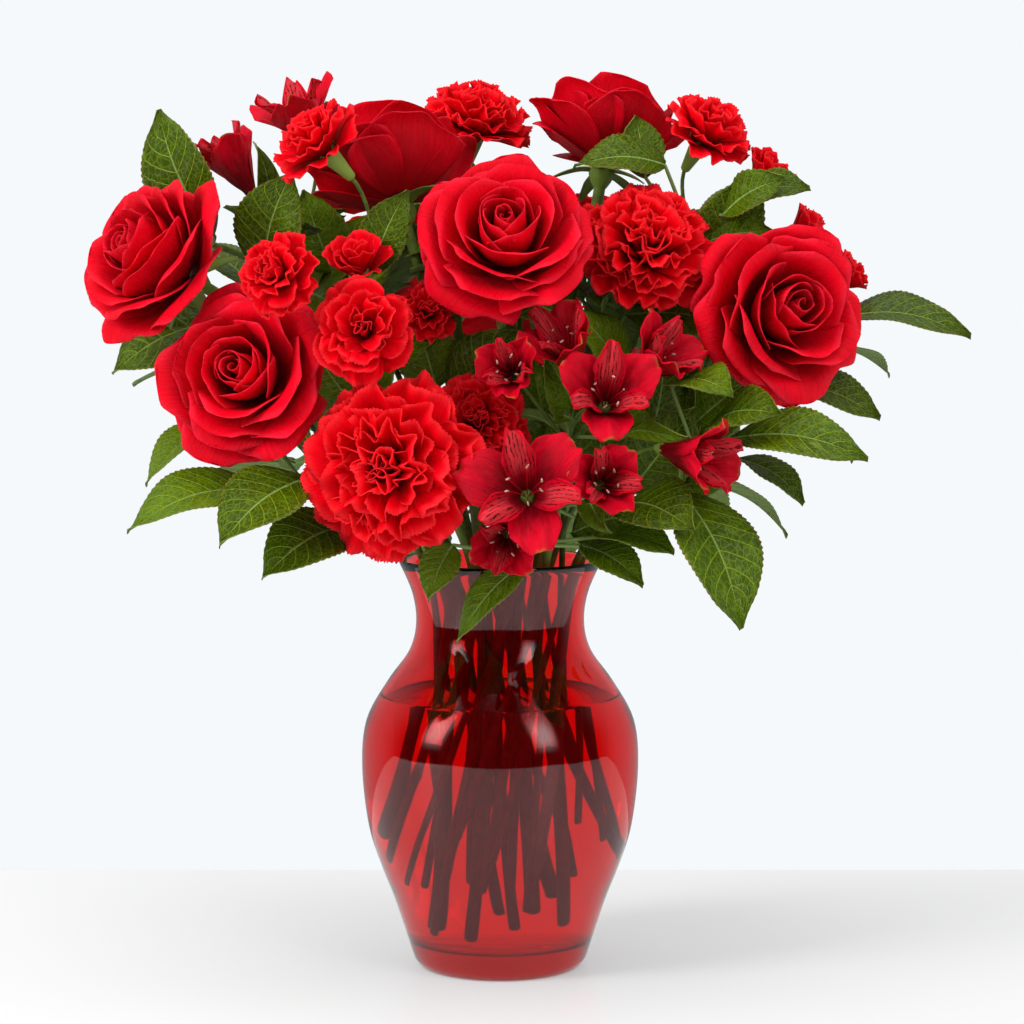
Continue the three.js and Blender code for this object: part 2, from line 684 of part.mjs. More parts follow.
// A leafy stem. Each leaf grows from the nearest place on the bent part that is below it.
function salalStem({ slot, tip, leaves }) {
  const end = point(tip);
  const into = end.clone().sub(slotPoint(slot, NECK_Z)).setZ(0).normalize();
  into.z = 0.25;
  into.normalize();
  const knots = bend(slot, end, into, SALAL_REACH).getSpacedPoints(BEND_STEPS);
  const places = knots.slice(1).flatMap((knot, i) =>
    [0.25, 0.5, 0.75, 1].map((share) => knots[i].clone().lerp(knot, share)),
  );
  const blades = leaves.map((each) => {
    const base = point(each.from);
    const cost = (p) => p.distanceTo(base) + 0.6 * Math.max(0, p.z - base.z + 6);
    return leaf(each, places.reduce((best, p) => (cost(p) < cost(best) ? p : best)));
  });
  return join([stem(slot, end, into, STEM_RADIUS.salal, SALAL_REACH), ...blades]);
}

// ---------------------------------------------------------------- vase and water

function insideRadius(z) {
  const i = VASE_OUTSIDE.findIndex(([, height]) => height >= z);
  const [[r0, z0], [r1, z1]] = [VASE_OUTSIDE[i - 1], VASE_OUTSIDE[i]];
  return lerp(r0, r1, (z - z0) / (z1 - z0)) - VASE_WALL;
}

function vase() {
  const corner = VASE_FLOOR + VASE_CORNER;
  const side = VASE_OUTSIDE.filter(([, z]) => z > corner).map(([r, z]) => [r - VASE_WALL, z]);
  const floor = [
    [insideRadius(corner), corner], [insideRadius(corner) - VASE_CORNER, VASE_FLOOR], [0, VASE_FLOOR],
  ];
  return lathe([[0, 0], ...VASE_OUTSIDE, ...side.reverse(), ...floor], VASE_SIDES);
}

// The water fills the vase to its level, with a plain hole for each stem.
function water(slots) {
  const corner = VASE_FLOOR + VASE_CORNER;
  const bends = VASE_OUTSIDE.map(([, z]) => z).filter((z) => z > corner && z < WATER_LEVEL);
  const side = [corner, ...bends, WATER_LEVEL].map((z) => [insideRadius(z) - GAP, z]);
  const floor = VASE_FLOOR + GAP;
  const body = lathe([[0, floor], [side[0][0] - VASE_CORNER, floor], ...side, [0, WATER_LEVEL]], VASE_SIDES);
  const holes = slots.map(([slot, radius]) => {
    const foot = slotPoint(slot, footOf(slot) - HOLE_SPARE);
    const top = slotPoint(slot, WATER_LEVEL + HOLE_SPARE);
    return tube(new THREE.LineCurve3(foot, top), radius + GAP * Math.SQRT2, 1);
  });
  return holes.reduce((left, hole) => left.subtract(hole), body);
}

// ---------------------------------------------------------------- the bouquet

const bouquet = new THREE.Group();
const slots = [];

for (const [name, rose] of Object.entries(ROSES)) {
  slots.push([rose.slot, STEM_RADIUS.rose]);
  bouquet.add(meshOf(`${name}_petals`, roseBloom(rose), "rose", placing(rose)));
  bouquet.add(meshOf(`${name}_stem`, roseStem(rose), "stem"));
}
for (const [name, carnation] of Object.entries(CARNATIONS)) {
  slots.push([carnation.slot, STEM_RADIUS.carnation]);
  bouquet.add(meshOf(`${name}_petals`, carnationBloom(carnation), "carnation", placing(carnation)));
  bouquet.add(meshOf(`${name}_stem`, carnationStem(carnation), "stem"));
}
for (const [name, spray] of Object.entries(SPRAYS)) {
  slots.push([spray.slot, STEM_RADIUS.spray]);
  for (const [which, bloom] of Object.entries(spray.blooms)) {
    bouquet.add(meshOf(`${name}_bloom_${which}`, sprayBloom(bloom), "carnation", placing(bloom)));
  }
  bouquet.add(meshOf(`${name}_stem`, sprayStem(spray), "stem"));
}
for (const [name, umbel] of Object.entries(UMBELS)) {
  slots.push([umbel.slot, STEM_RADIUS.alstroemeria]);
  for (const [which, bloom] of Object.entries(umbel.blooms)) {
    bouquet.add(meshOf(`${name}_bloom_${which}`, alstroemeriaBloom(bloom), "alstroemeria", placing(bloom)));
  }
  bouquet.add(meshOf(`${name}_stem`, umbelStem(umbel), "stem"));
}
for (const [name, salal] of Object.entries(SALALS)) {
  slots.push([salal.slot, STEM_RADIUS.salal]);
  bouquet.add(meshOf(name, salalStem(salal), "leaf"));
}
bouquet.add(meshOf("vase", vase(), "glass"));
bouquet.add(meshOf("water", water(slots), "water"));

export default bouquet;
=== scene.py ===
"""A round bouquet of red roses, carnations, spray carnations and alstroemeria with salal leaves,
in a red glass vase of water: its looks, made around the frame.

Places and sizes in the tables are millimetres in the frame's own axes: +Z is up and the front
faces -Y. A direction is (azimuth, elevation) in degrees: azimuth 0 is the front, 90 the right (+X).
A flower is made in its own frame, with its base at the origin and its face along +Z, and is then
put in its place.
"""

import math

import bpy
import numpy as np
from mathutils import Euler, Matrix, Quaternion, Vector


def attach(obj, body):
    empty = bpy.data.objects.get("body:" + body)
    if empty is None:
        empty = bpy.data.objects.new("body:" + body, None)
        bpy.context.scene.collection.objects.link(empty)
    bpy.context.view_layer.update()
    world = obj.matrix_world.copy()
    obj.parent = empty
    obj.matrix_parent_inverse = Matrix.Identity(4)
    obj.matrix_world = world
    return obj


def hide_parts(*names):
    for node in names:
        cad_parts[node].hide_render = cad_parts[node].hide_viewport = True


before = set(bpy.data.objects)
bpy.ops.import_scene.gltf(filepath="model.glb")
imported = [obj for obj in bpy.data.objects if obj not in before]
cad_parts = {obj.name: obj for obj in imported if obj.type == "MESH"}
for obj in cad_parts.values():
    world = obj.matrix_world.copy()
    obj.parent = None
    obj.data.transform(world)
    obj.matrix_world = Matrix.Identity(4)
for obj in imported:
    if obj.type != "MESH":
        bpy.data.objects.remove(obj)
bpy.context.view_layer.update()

bl_info = {
    "name": "Red bouquet in a glass vase",
    "version": (1, 0, 0),
    "blender": (4, 5, 0),
    "location": "View3D > Sidebar > Bouquet",
    "description": "Roses, carnations, alstroemeria and salal leaves in a red glass vase of water",
    "category": "Object",
}

MM = 0.001
SEED = 2114

# ------------------------------------------------------------------------ where the flowers are

# at: the base of the bloom. face: where it looks. slot: the stem's place in the neck.
# dark: painted shade, a share by which all the petals of a head are painted darker.
ROSES = {
    "rose_left": dict(
        at=(-149, -24, 337), face=(-52, 26), size=1.02, open=0.9, spin=20, dark=0.3, slot=("middle", 7)
    ),
    "rose_upper_left": dict(
        at=(-48, -10, 372), face=(-152, 56), size=1.04, open=0.75, spin=50, dark=0.5, slot=("inner", 4)
    ),
    "rose_lower_left": dict(
        at=(-111, -46, 287), face=(-16, 14), size=1.02, open=0.95, spin=10, slot=("outer", 12)
    ),
    "rose_centre": dict(
        at=(4, -44, 345), face=(-3, 32), size=1.0, open=1.0, spin=75, dark=0.1, slot=("inner", 0)
    ),
    "rose_top": dict(
        at=(50, 22, 391), face=(160, 70), size=0.94, open=0.65, spin=0, dark=0.6, slot=("inner", 2)
    ),
    "rose_right": dict(
        at=(125, -22, 316), face=(24, 12), size=1.05, open=0.95, spin=40, dark=0.3, slot=("outer", 3)
    ),
    "rose_back_left": dict(
        at=(-66, 70, 322), face=(-142, 28), size=0.98, open=0.9, spin=15, slot=("middle", 5)
    ),
    "rose_back_right": dict(
        at=(80, 66, 300), face=(138, 20), size=1.0, open=0.95, spin=60, slot=("middle", 3)
    ),
}

CARNATIONS = {
    "carnation_front": dict(at=(-45, -74, 249), face=(-14, 3), size=1.1, spin=10, slot=("outer", 13)),
    "carnation_right": dict(at=(67, -20, 344), face=(14, 36), size=0.92, spin=30, slot=("inner", 1)),
    "carnation_top": dict(at=(-14, 40, 404), face=(60, 72), size=0.74, spin=0, slot=("inner", 3)),
    "carnation_middle": dict(at=(-9, -45, 268), face=(-4, 14), size=0.62, spin=50, slot=("middle", 0)),
    "carnation_back": dict(at=(4, 84, 318), face=(176, 22), size=1.0, spin=20, slot=("outer", 7)),
}

# A spray or an umbel is one stem that forks into several flowers. fork: where its shoots begin.
SPRAYS = {
    "spray_left": dict(
        slot=("middle", 8),
        fork=(-52, -22, 300),
        blooms={
            "top": dict(at=(-79, -43, 393), face=(-62, 42), size=1.05, spin=0),
            "side": dict(at=(-96, -82, 335), face=(-35, 20), size=0.92, spin=30),
            "low": dict(at=(-60, -80, 310), face=(-6, 14), size=1.1, spin=60),
            "inner": dict(at=(-33, -42, 318), face=(-5, 25), size=0.7, spin=15),
        },
        buds=[dict(at=(-65, -46, 336), face=(-5, 50), size=1.15, flare=2.1)],
    ),
    "spray_right": dict(
        slot=("middle", 2),
        fork=(98, 8, 330),
        blooms={"top": dict(at=(96, 2, 400), face=(42, 50), size=1.05, spin=20)},
        buds=[
            dict(at=(122, 2, 378), face=(60, 48), size=1.1, flare=1.7),
            dict(at=(138, 0, 352), face=(78, 36), size=1.1, flare=1.3),
            dict(at=(160, 12, 332), face=(80, 30), size=1.0, flare=1.6),
        ],
    ),
    "spray_back": dict(
        slot=("middle", 4),
        fork=(10, 60, 318),
        blooms={
            "left": dict(at=(-26, 74, 362), face=(-160, 42), size=1.05, spin=0),
            "right": dict(at=(42, 72, 356), face=(152, 40), size=1.0, spin=45),
        },
        buds=[dict(at=(10, 86, 372), face=(172, 56), size=1.1, flare=1.2)],
    ),
}

UMBELS = {
    "alstroemeria_middle": dict(
        slot=("middle", 1),
        fork=(32, -42, 262),
        blooms={
            "left": dict(at=(8, -66, 290), face=(-12, 16), size=0.78, open=0.45, spin=0),
            "top": dict(at=(36, -54, 292), face=(-30, 46), size=0.95, open=0.5, spin=30),
            "right": dict(at=(62, -52, 290), face=(50, 34), size=0.95, open=0.5, spin=10),
            "low": dict(at=(48, -66, 275), face=(4, 26), size=1.0, open=0.75, spin=0),
        },
        buds=[],
        leaves=[dict(start=(56, -54, 262), end=(86, -86, 264), width=11, face=(10, 60))],
    ),
    "alstroemeria_front": dict(
        slot=("outer", 1),
        fork=(26, -48, 230),
        blooms={
            "open": dict(at=(13, -88, 236), face=(-4, 18), size=1.08, open=1.0, spin=12),
            "low": dict(at=(4, -66, 219), face=(-4, -10), size=0.8, open=0.5, spin=40),
            "right": dict(at=(74, -68, 258), face=(52, -8), size=1.05, open=0.35, spin=0),
            "upper": dict(at=(45, -80, 241), face=(10, 14), size=0.85, open=0.5, spin=30),
        },
        buds=[],
        leaves=[dict(start=(40, -64, 232), end=(50, -98, 222), width=14, face=(20, 40))],
    ),
    "alstroemeria_back": dict(
        slot=("middle", 6),
        fork=(-98, 2, 350),
        blooms={
            "top": dict(at=(-92, 32, 398), face=(-60, 66), size=1.0, open=0.6, spin=0),
            "side": dict(at=(-120, 10, 376), face=(-80, 58), size=0.95, open=0.4, spin=20),
        },
        buds=[dict(at=(-84, 44, 408), face=(-170, 76), size=0.8, flare=0.6)],
        leaves=[dict(start=(-104, -4, 362), end=(-116, -26, 400), width=13, face=(-30, 20))],
    ),
}

# Leafy stems. tip: the stem's end. A leaf runs from start, its stalk's end, to its point at end,
# and face is where its upper side looks.
SALALS = {
    "salal_upper_left": dict(
        slot=("outer", 9),
        tip=(-140, 12, 352),
        leaves=[
            dict(start=(-138, 2, 356), end=(-165, 4, 417), face=(-40, 30), tint=0.1),
            dict(start=(-112, -26, 338), end=(-98, -29, 386), width=38, face=(-20, 25), tint=0.15),
            dict(start=(-120, 30, 330), end=(-168, 62, 352), face=(-120, 50)),
        ],
    ),
    "salal_left": dict(
        slot=("outer", 10),
        tip=(-141, -26, 302),
        leaves=[
            dict(start=(-134, 4, 316), end=(-188, 0, 290), width=44, face=(-20, 40), tint=0.3),
            dict(start=(-128, -26, 268), end=(-166, -50, 240), face=(-45, 45)),
            dict(start=(-122, 0, 290), end=(-180, 14, 284), face=(-80, 60)),
        ],
    ),
    "salal_lower_left": dict(
        slot=("outer", 11),
        tip=(-104, -50, 246),
        leaves=[
            dict(start=(-112, -58, 238), end=(-170, -84, 221), width=40, face=(-20, 60), tint=0.7),
            dict(start=(-90, -72, 244), end=(-126, -102, 216), width=40, face=(-15, 45), tint=0.2),
            dict(start=(-70, -56, 222), end=(-108, -88, 200), width=38, face=(-10, 40), tint=0.05),
        ],
    ),
    "salal_front": dict(
        slot=("outer", 0),
        tip=(14, -56, 212),
        leaves=[
            dict(start=(-22, -54, 212), end=(-33, -66, 187), width=20, face=(-15, 30), tint=0.9),
            dict(start=(14, -59, 206), end=(-20, -70, 168), width=19, face=(-20, 40)),
            dict(start=(44, -56, 216), end=(80, -82, 211), width=26, face=(20, 55)),
            dict(start=(38, -58, 212), end=(66, -80, 196), width=22, face=(20, 35)),
        ],
    ),
    "salal_lower_right": dict(
        slot=("outer", 2),
        tip=(100, -58, 258),
        leaves=[
            dict(start=(106, -62, 262), end=(168, -84, 254), width=34, face=(10, 50)),
            dict(start=(84, -68, 238), end=(110, -98, 178), width=42, face=(25, 30), tint=0.4),
            dict(start=(56, -58, 231), end=(88, -102, 223), width=38, face=(0, 45)),
            dict(start=(97, -54, 267), end=(128, -88, 275), width=32, face=(-10, 50)),
            dict(start=(80, -48, 286), end=(106, -86, 284), width=28, face=(0, 55)),
            dict(start=(110, -44, 252), end=(142, -58, 232), face=(40, 45)),
        ],
    ),
    "salal_right": dict(
        slot=("outer", 5),
        tip=(158, 8, 312),
        leaves=[
            dict(start=(160, 4, 316), end=(227, -6, 308), width=36, face=(40, 55), tint=0.1),
            dict(start=(134, -16, 284), end=(180, -34, 270), width=32, face=(30, 50)),
            dict(start=(148, 20, 300), end=(196, 52, 288), face=(110, 55)),
            dict(start=(128, 20, 270), end=(176, 34, 246), face=(90, 50)),
        ],
    ),
    "salal_upper_right": dict(
        slot=("outer", 4),
        tip=(94, -4, 368),
        leaves=[
            dict(start=(79, -12, 390), end=(35, -22, 389), width=28, face=(5, 50)),
            dict(start=(70, -6, 384), end=(65, -4, 414), width=22, face=(0, 20)),
            dict(start=(112, -14, 371), end=(146, -30, 379), width=26, face=(0, 50)),
            dict(start=(106, -20, 366), end=(134, -34, 383), width=24, face=(0, 40)),
            dict(start=(98, 26, 366), end=(136, 48, 378), face=(120, 55)),
        ],
    ),
    "salal_back_left": dict(
        slot=("outer", 8),
        tip=(-104, 78, 262),
        leaves=[
            dict(start=(-108, 78, 268), end=(-160, 102, 278), face=(-120, 60)),
            dict(start=(-92, 78, 244), end=(-126, 118, 220), face=(-135, 45)),
            dict(start=(-66, 78, 240), end=(-60, 132, 226), face=(-160, 50)),
            dict(start=(-104, 54, 244), end=(-156, 66, 222), face=(-110, 45)),
            dict(start=(-48, 66, 222), end=(-30, 96, 180), width=32, face=(-165, 30)),
        ],
    ),
    "salal_back_right": dict(
        slot=("outer", 6),
        tip=(104, 74, 244),
        leaves=[
            dict(start=(110, 74, 248), end=(164, 94, 250), face=(120, 60)),
            dict(start=(88, 78, 232), end=(118, 112, 204), face=(140, 45)),
            dict(start=(58, 76, 240), end=(44, 130, 232), face=(165, 50)),
            dict(start=(96, 50, 234), end=(146, 58, 206), face=(105, 45)),
            dict(start=(42, 66, 222), end=(20, 98, 184), width=32, face=(170, 30)),
        ],
    ),
}

# ------------------------------------------------------------------------ sizes of the pieces

# The stems pass the neck in three rings that lean all the same way and never cross.
NECK_Z = 168
STEM_RINGS = {
    "inner": dict(radius=9, count=5, first=2, foot_radius=13, foot_z=17),
    "middle": dict(radius=20, count=9, first=0, foot_radius=31, foot_z=20),
    "outer": dict(radius=31.5, count=14, first=2, foot_radius=48, foot_z=46),
}
SPIRAL_TWIST = 62
# The stems of a ring are cut at seven lengths, this far apart.
FOOT_LENGTHS = 7
FOOT_STEP = 5
STEM_RADIUS = dict(rose=2.7, carnation=2.0, spray=1.5, alstroemeria=1.9, salal=1.6)
STEM_SIDES = 12
# The stem finish is bark at a tint under 0.3 and the green of a calyx over 0.4.
SKIN_TINTS = dict(stem=0.1, twig=0.15, thorn=0.2, hip=0.34, calyx=0.8)
# For the finishes that don't read the tint.
PLAIN_TINT = 0.5
STEM_STEPS = dict(below=9, above=26)
CUT_SLANT = 0.8
TWIG_RADIUS = 0.95
# How far a stem's curve runs in the direction of its end, as a share of the way from the neck.
STEM_END_REACH = 0.22
# The first thorn and the steps to the next ones, as shares of the stem above the neck.
THORN_COUNT = 6
THORN_FIRST = 0.08
THORN_APART = 0.13
THORN_RADIUS = 1.25
# How much thicker a carnation's stem is at a knot, and how far that reaches to each side.
CARNATION_KNOTS = 5
KNOT_SWELL = 0.42
KNOT_REACH = 2.2
# The rose's stem ends inside the hip, this far below the base of the bloom.
HIP_DEPTH = 10

# A salal stem bends out late, and bears no leaves on its first points above the neck.
SALAL_REACH = 0.55
SALAL_BARE_POINTS = 6
LEAF_WIDTH_SHARE = 0.56
LEAF_ROWS_PER_MM = 1.1
LEAF_COLUMNS = 15
# Side veins in the length of a leaf, and how far one runs to the tip on its way to the edge.
SIDE_VEINS = 8.5
VEIN_SLANT = 1.35
LEAF_STALK_RADIUS = 0.95
LEAF_STALK_STEPS = 5
# The midrib under a leaf: its share of the blade, and its radius at the stalk and at its end.
MIDRIB_SHARE = 0.9
MIDRIB_RADII = (0.85, 0.25)
# The ring of leaves round the fork of an alstroemeria's stem: how far out they start, and the
# least and most of their length and of the angle that they rise by.
WHORL = dict(count=6, reach=4, length=(26, 40), rise=(10, 50), width=9)

# A petal's rows, columns and teeth.
ROSE_DETAIL = (22, 29)
CARNATION_DETAIL = (15, 47, 19)
SPRAY_DETAIL = (12, 29, 11)
BUD_DETAIL = (12, 15, 9)
ALSTROEMERIA_DETAIL = (26, 19)
SEPAL_DETAIL = (16, 7)
# A spray carnation beside a large one: its calyx, and the petals' thickness, ruffles and teeth.
SPRAY_CALYX_SCALE = 0.62
SPRAY_PETAL_SCALE = 0.85
SPRAY_RUFFLE_SCALE = 0.52
SPRAY_TOOTH_SCALE = 0.7
SEPAL_THICKNESS = 0.5
BUD_PETAL_THICKNESS = 0.3

# The three broad outer petals of an alstroemeria, and the three narrow inner ones.
ALSTROEMERIA_OUTER = dict(
    length=36, base=2.6, foot=1.5, lean=(24, 38, 60), width=12.2, fall=0.24, tip=0.05
)
ALSTROEMERIA_INNER = dict(
    length=37, base=2.2, foot=1.5, lean=(14, 26, 46), width=7.0, fall=0.34, tip=0.12
)
STAMEN_COUNT = 6
# The alstroemeria finish streaks a petal whose tint is over a half, and not a filament.
FILAMENT_TINT = 0.1
FILAMENT_RADIUS = 0.28
ANTHER_LENGTH = 2.6
ANTHER_RADIUS = 0.5

# Turned bodies, (radius, height) along the axis of a flower whose base is at 0.
ROSE_HIP = (
    (0.6, -14), (2.4, -13.4), (3.6, -12), (5.6, -8.5), (6.6, -5.5), (6.4, -3.2), (5.6, -1.6), (1, -1),
)
CALYX_OUTSIDE = (
    (0.5, -24), (2.4, -23.8), (3.5, -22.6), (4.3, -18), (5.2, -12), (6.1, -6), (6.9, 0), (7.3, 2.4),
)
CALYX_HOLLOW = ((6.7, 2.2), (5.8, -1), (2, -3))
CALYX_CLOSED = ((7.5, 4), (7.0, 5.6), (5.4, 6.2), (1, 6.4))
CALYX_LENGTH = 21
# Small green leaves round a rose's hip, at the top of a calyx, and below it.
ROSE_SEPALS = dict(count=5, length=23, width=3.6, base=5.6, foot=-3.2, lean=(92, 112, 132))
CALYX_TEETH = dict(count=5, length=7, width=2.7, base=6.9, foot=0.6, lean=(14, 24, 34))
CALYX_BRACTS = dict(count=4, length=7.5, width=2.6, base=3.2, foot=-1.5, lean=(10, 16, 24))
TURNED_SIDES = dict(hip=20, calyx=30, ovary=24)
OVARY = ((0.5, -3), (1.4, -2.4), (2.5, 0), (3.1, 2.6), (2.9, 5), (1.6, 6.2), (0.4, 6.4))

# Steps in which the middle line of a petal is worked out.
LINE_STEPS = 48
# The petals of a rose from its middle outwards, of a carnation from its rim inwards, and of a
# bud's red tip from its middle outwards: how many, then the shape of each. The layers of a rose
# from FIRST_OPEN_LAYER on lean less when it is less open.
ROSE_LAYERS = (
    (1, dict(length=36, base=1.0, foot=3, lean=(9, 2, -5), width=8, skew=1.2)),
    (2, dict(length=37.5, base=1.6, foot=3, lean=(20, 1, -7), width=10, skew=1.2)),
    (3, dict(length=39, base=2.2, foot=3, lean=(33, 2, -6), width=13, skew=1.5)),
    (3, dict(length=40, base=3, foot=3, lean=(43, 4, -3), width=17, skew=2, roll=12)),
    (3, dict(length=41.5, base=3.6, foot=3, lean=(54, 11, 3), width=21, skew=2.4, roll=34)),
    (4, dict(length=43, base=4.2, foot=2.5, lean=(64, 22, 12), width=23, skew=3, roll=60)),
    (5, dict(length=43.5, base=5, foot=2, lean=(73, 33, 30), width=24, skew=3.4, roll=76)),
    (5, dict(length=43, base=5.6, foot=1, lean=(82, 44, 52), width=25, skew=3.6, roll=84)),
)
FIRST_OPEN_LAYER = 4
CARNATION_LAYERS = (
    (10, dict(length=36, base=4.0, foot=1, lean=(66, 76, 88), width=14.5)),
    (10, dict(length=36, base=3.8, foot=1.6, lean=(54, 64, 74), width=14)),
    (9, dict(length=36, base=3.5, foot=2.2, lean=(42, 50, 60), width=13.5)),
    (8, dict(length=35, base=3.2, foot=3, lean=(30, 37, 46), width=12.5)),
    (7, dict(length=34, base=2.8, foot=4, lean=(19, 24, 32), width=11)),
    (5, dict(length=33, base=2, foot=5, lean=(8, 12, 17), width=9.5)),
    (3, dict(length=31, base=1, foot=5, lean=(2, 3, 5), width=7)),
)
SPRAY_LAYERS = (
    (6, dict(length=21.5, base=2.6, foot=1, lean=(62, 74, 86), width=9.4)),
    (6, dict(length=21.5, base=2.4, foot=1.6, lean=(46, 56, 66), width=8.8)),
    (6, dict(length=21, base=2, foot=2.2, lean=(30, 38, 46), width=8)),
    (5, dict(length=20, base=1.6, foot=3, lean=(16, 22, 28), width=7)),
    (3, dict(length=19, base=0.8, foot=3, lean=(3, 6, 10), width=5)),
)
BUD_LAYERS = (
    (3, dict(length=28, base=0.6, foot=3, lean=(4, 6, 12), width=8)),
    (4, dict(length=28, base=2.4, foot=3, lean=(10, 14, 20), width=10)),
    (5, dict(length=27, base=4.2, foot=3, lean=(16, 20, 26), width=11)),
)

# Leaves between the flowers, each on the salal stem that is nearest.
INNER_LEAVES = (
    dict(start=(62, -38, 236), end=(92, -46, 276), width=34, face=(10, 20)),
    dict(start=(70, -36, 232), end=(104, -52, 240), width=32, face=(15, 40)),
    dict(start=(40, -34, 232), end=(30, -40, 284), width=30, face=(-5, 15)),
    dict(start=(34, -40, 216), end=(66, -50, 226), width=28, face=(5, 30)),
    dict(start=(28, -30, 226), end=(10, -34, 276), width=30, face=(-10, 10)),
    dict(start=(26, -34, 250), end=(14, -38, 300), width=28, face=(-5, 20)),
    dict(start=(46, -30, 240), end=(62, -34, 292), width=32, face=(10, 15)),
    dict(start=(88, -20, 262), end=(122, -30, 290), width=34, face=(15, 30)),
    dict(start=(-80, -8, 338), end=(-94, -14, 378), width=30, face=(-10, 25)),
    dict(start=(-30, -28, 284), end=(-40, -36, 322), width=30, face=(-5, 15)),
    dict(start=(-70, -30, 276), end=(-90, -36, 306), width=30, face=(-10, 15)),
    dict(start=(-60, -38, 338), end=(-43, -44, 377), width=25, face=(-10, 20), tint=0.2),
    dict(start=(100, -8, 342), end=(122, -14, 386), width=32, face=(10, 15), tint=0.3),
    dict(start=(92, -14, 350), end=(130, -20, 358), width=28, face=(5, 40), tint=0.5),
)

# Inner leaves of the salal stems. They line a rounded body behind the flowers, and the gaps
# between the flowers show them.
GOLDEN_ANGLE = math.pi * (3 - 5**0.5)
LINING = dict(count=84, centre=(2, 4, 282), reach=(108, 47, 84), lowest=226, length=52, width=29)
LINING_DETAIL = dict(columns=9, rows=30)

# The outside of the vase, (radius, height) from foot to rim.
VASE_OUTSIDE = (
    (42.5, 4), (51.6, 32), (58.6, 50), (64.6, 70), (67.6, 98), (65.4, 121), (55, 140),
    (44.4, 155), (41, 169), (43, 184), (50, 200),
)
VASE_FOOT = ((0.8, 1.4), (26, 1.2), (33, 0.4), (37, 0.0), (40, 0.5))
VASE_LIP = ((49.4, 200.0), (48.4, 200.0), (47.2, 199.4))
VASE_WALL = 3.5
VASE_SIDES = 128
# The inner floor: the glass, and the water on it, which sinks a hair into the glass.
VASE_FLOOR = ((44.3, 18), (41.5, 14.6), (36, 13.2), (24, 13), (0.8, 13.6))
WATER_FLOOR = ((0.8, 13.5), (24, 12.9), (36, 13.1), (41.6, 14.5), (44.4, 17.9))
WATER_LEVEL = 132
WATER_OVERLAP = 0.12
WATER_CLIMB = 1.2

# The camera and the table in metres. The pitch is in degrees, lens and sensor in millimetres.
CAMERA_PLACE = (0.0058, -1.345, 0.337)
CAMERA_PITCH = 4.86
CAMERA_LENS = 97.5
CAMERA_SENSOR = 36
TABLE_BACK = 0.212
TABLE_SIZE = (3.6, 2.2, 0.006)
# Painted light: the table top glows this much by itself, which keeps its shadows pale.
TABLE_GLOW = 0.295
WALL = (0.913, 0.947, 0.973)

# Where a light stands (azimuth, elevation, distance in metres from the bouquet), its width and
# height in metres, and its watts.
LIGHTS = (
    dict(name="left_softbox", place=(-60, 26, 2.3), size=(0.7, 1.5), watts=39),
    dict(name="right_softbox", place=(40, 30, 2.4), size=(0.9, 1.9), watts=16),
    dict(name="top_softbox", place=(-20, 80, 1.9), size=(1.4, 1.0), watts=12),
)
LIGHT_TARGET = (0, 0, 0.22)
# What reflections show: the dark front of the room, the tall lamps, the ceiling, and the wall at
# the back at this share of its brightness.
MIRRORED_FRONT = (0.012, 0.012, 0.012)
MIRRORED_LAMP = (4.5, 4.5, 4.5)
MIRRORED_CEILING = (1.3, 1.3, 1.3)
MIRRORED_WALL_SHARE = 0.4
AMBIENT_BELOW = (0.66, 0.66, 0.67)
AMBIENT_ABOVE = (0.96, 0.96, 0.96)

# ------------------------------------------------------------------------ colours

# Lesser colours of the finishes; those that a user would change are in the settings.
SHEEN_RED = (1.0, 0.10, 0.16)
# Painted highlights: the petal rims of roses and carnations are painted lighter with these colours.
ROSE_RIM_HIGHLIGHT = (0.90, 0.02, 0.05)
CARNATION_RIM_HIGHLIGHT = (1.0, 0.035, 0.042)
ALSTROEMERIA_GRAIN = (0.66, 0.015, 0.04)
ALSTROEMERIA_GROUND = (0.74, 0.07, 0.08)
ALSTROEMERIA_TIP = (0.16, 0.22, 0.03)
YOUNG_LEAF = (0.105, 0.175, 0.002)
LEAF_EDGE = (0.20, 0.13, 0.02)
LEAF_UNDER_VEIN = (0.22, 0.34, 0.1)
DARK_POLLEN = (0.26, 0.12, 0.09)
PALE_POLLEN = (0.52, 0.36, 0.28)
GLASS_DEPTH = (0.972, 0.01, 0.01)
GLASS_DENSITY = 350.0
WATER = (0.97, 0.985, 0.98)


# ------------------------------------------------------------------------ settings


def colour_setting(name, description, default):
    return bpy.props.FloatVectorProperty(
        name=name, description=description, default=default, min=0, max=1, subtype="COLOR"
    )


def length_setting(name, description, default, low, high):
    """A length in metres, whose default and limits are given here in millimetres."""
    return bpy.props.FloatProperty(
        name=name, description=description, default=default * MM, min=low * MM, max=high * MM,
        precision=5, unit="LENGTH",
    )


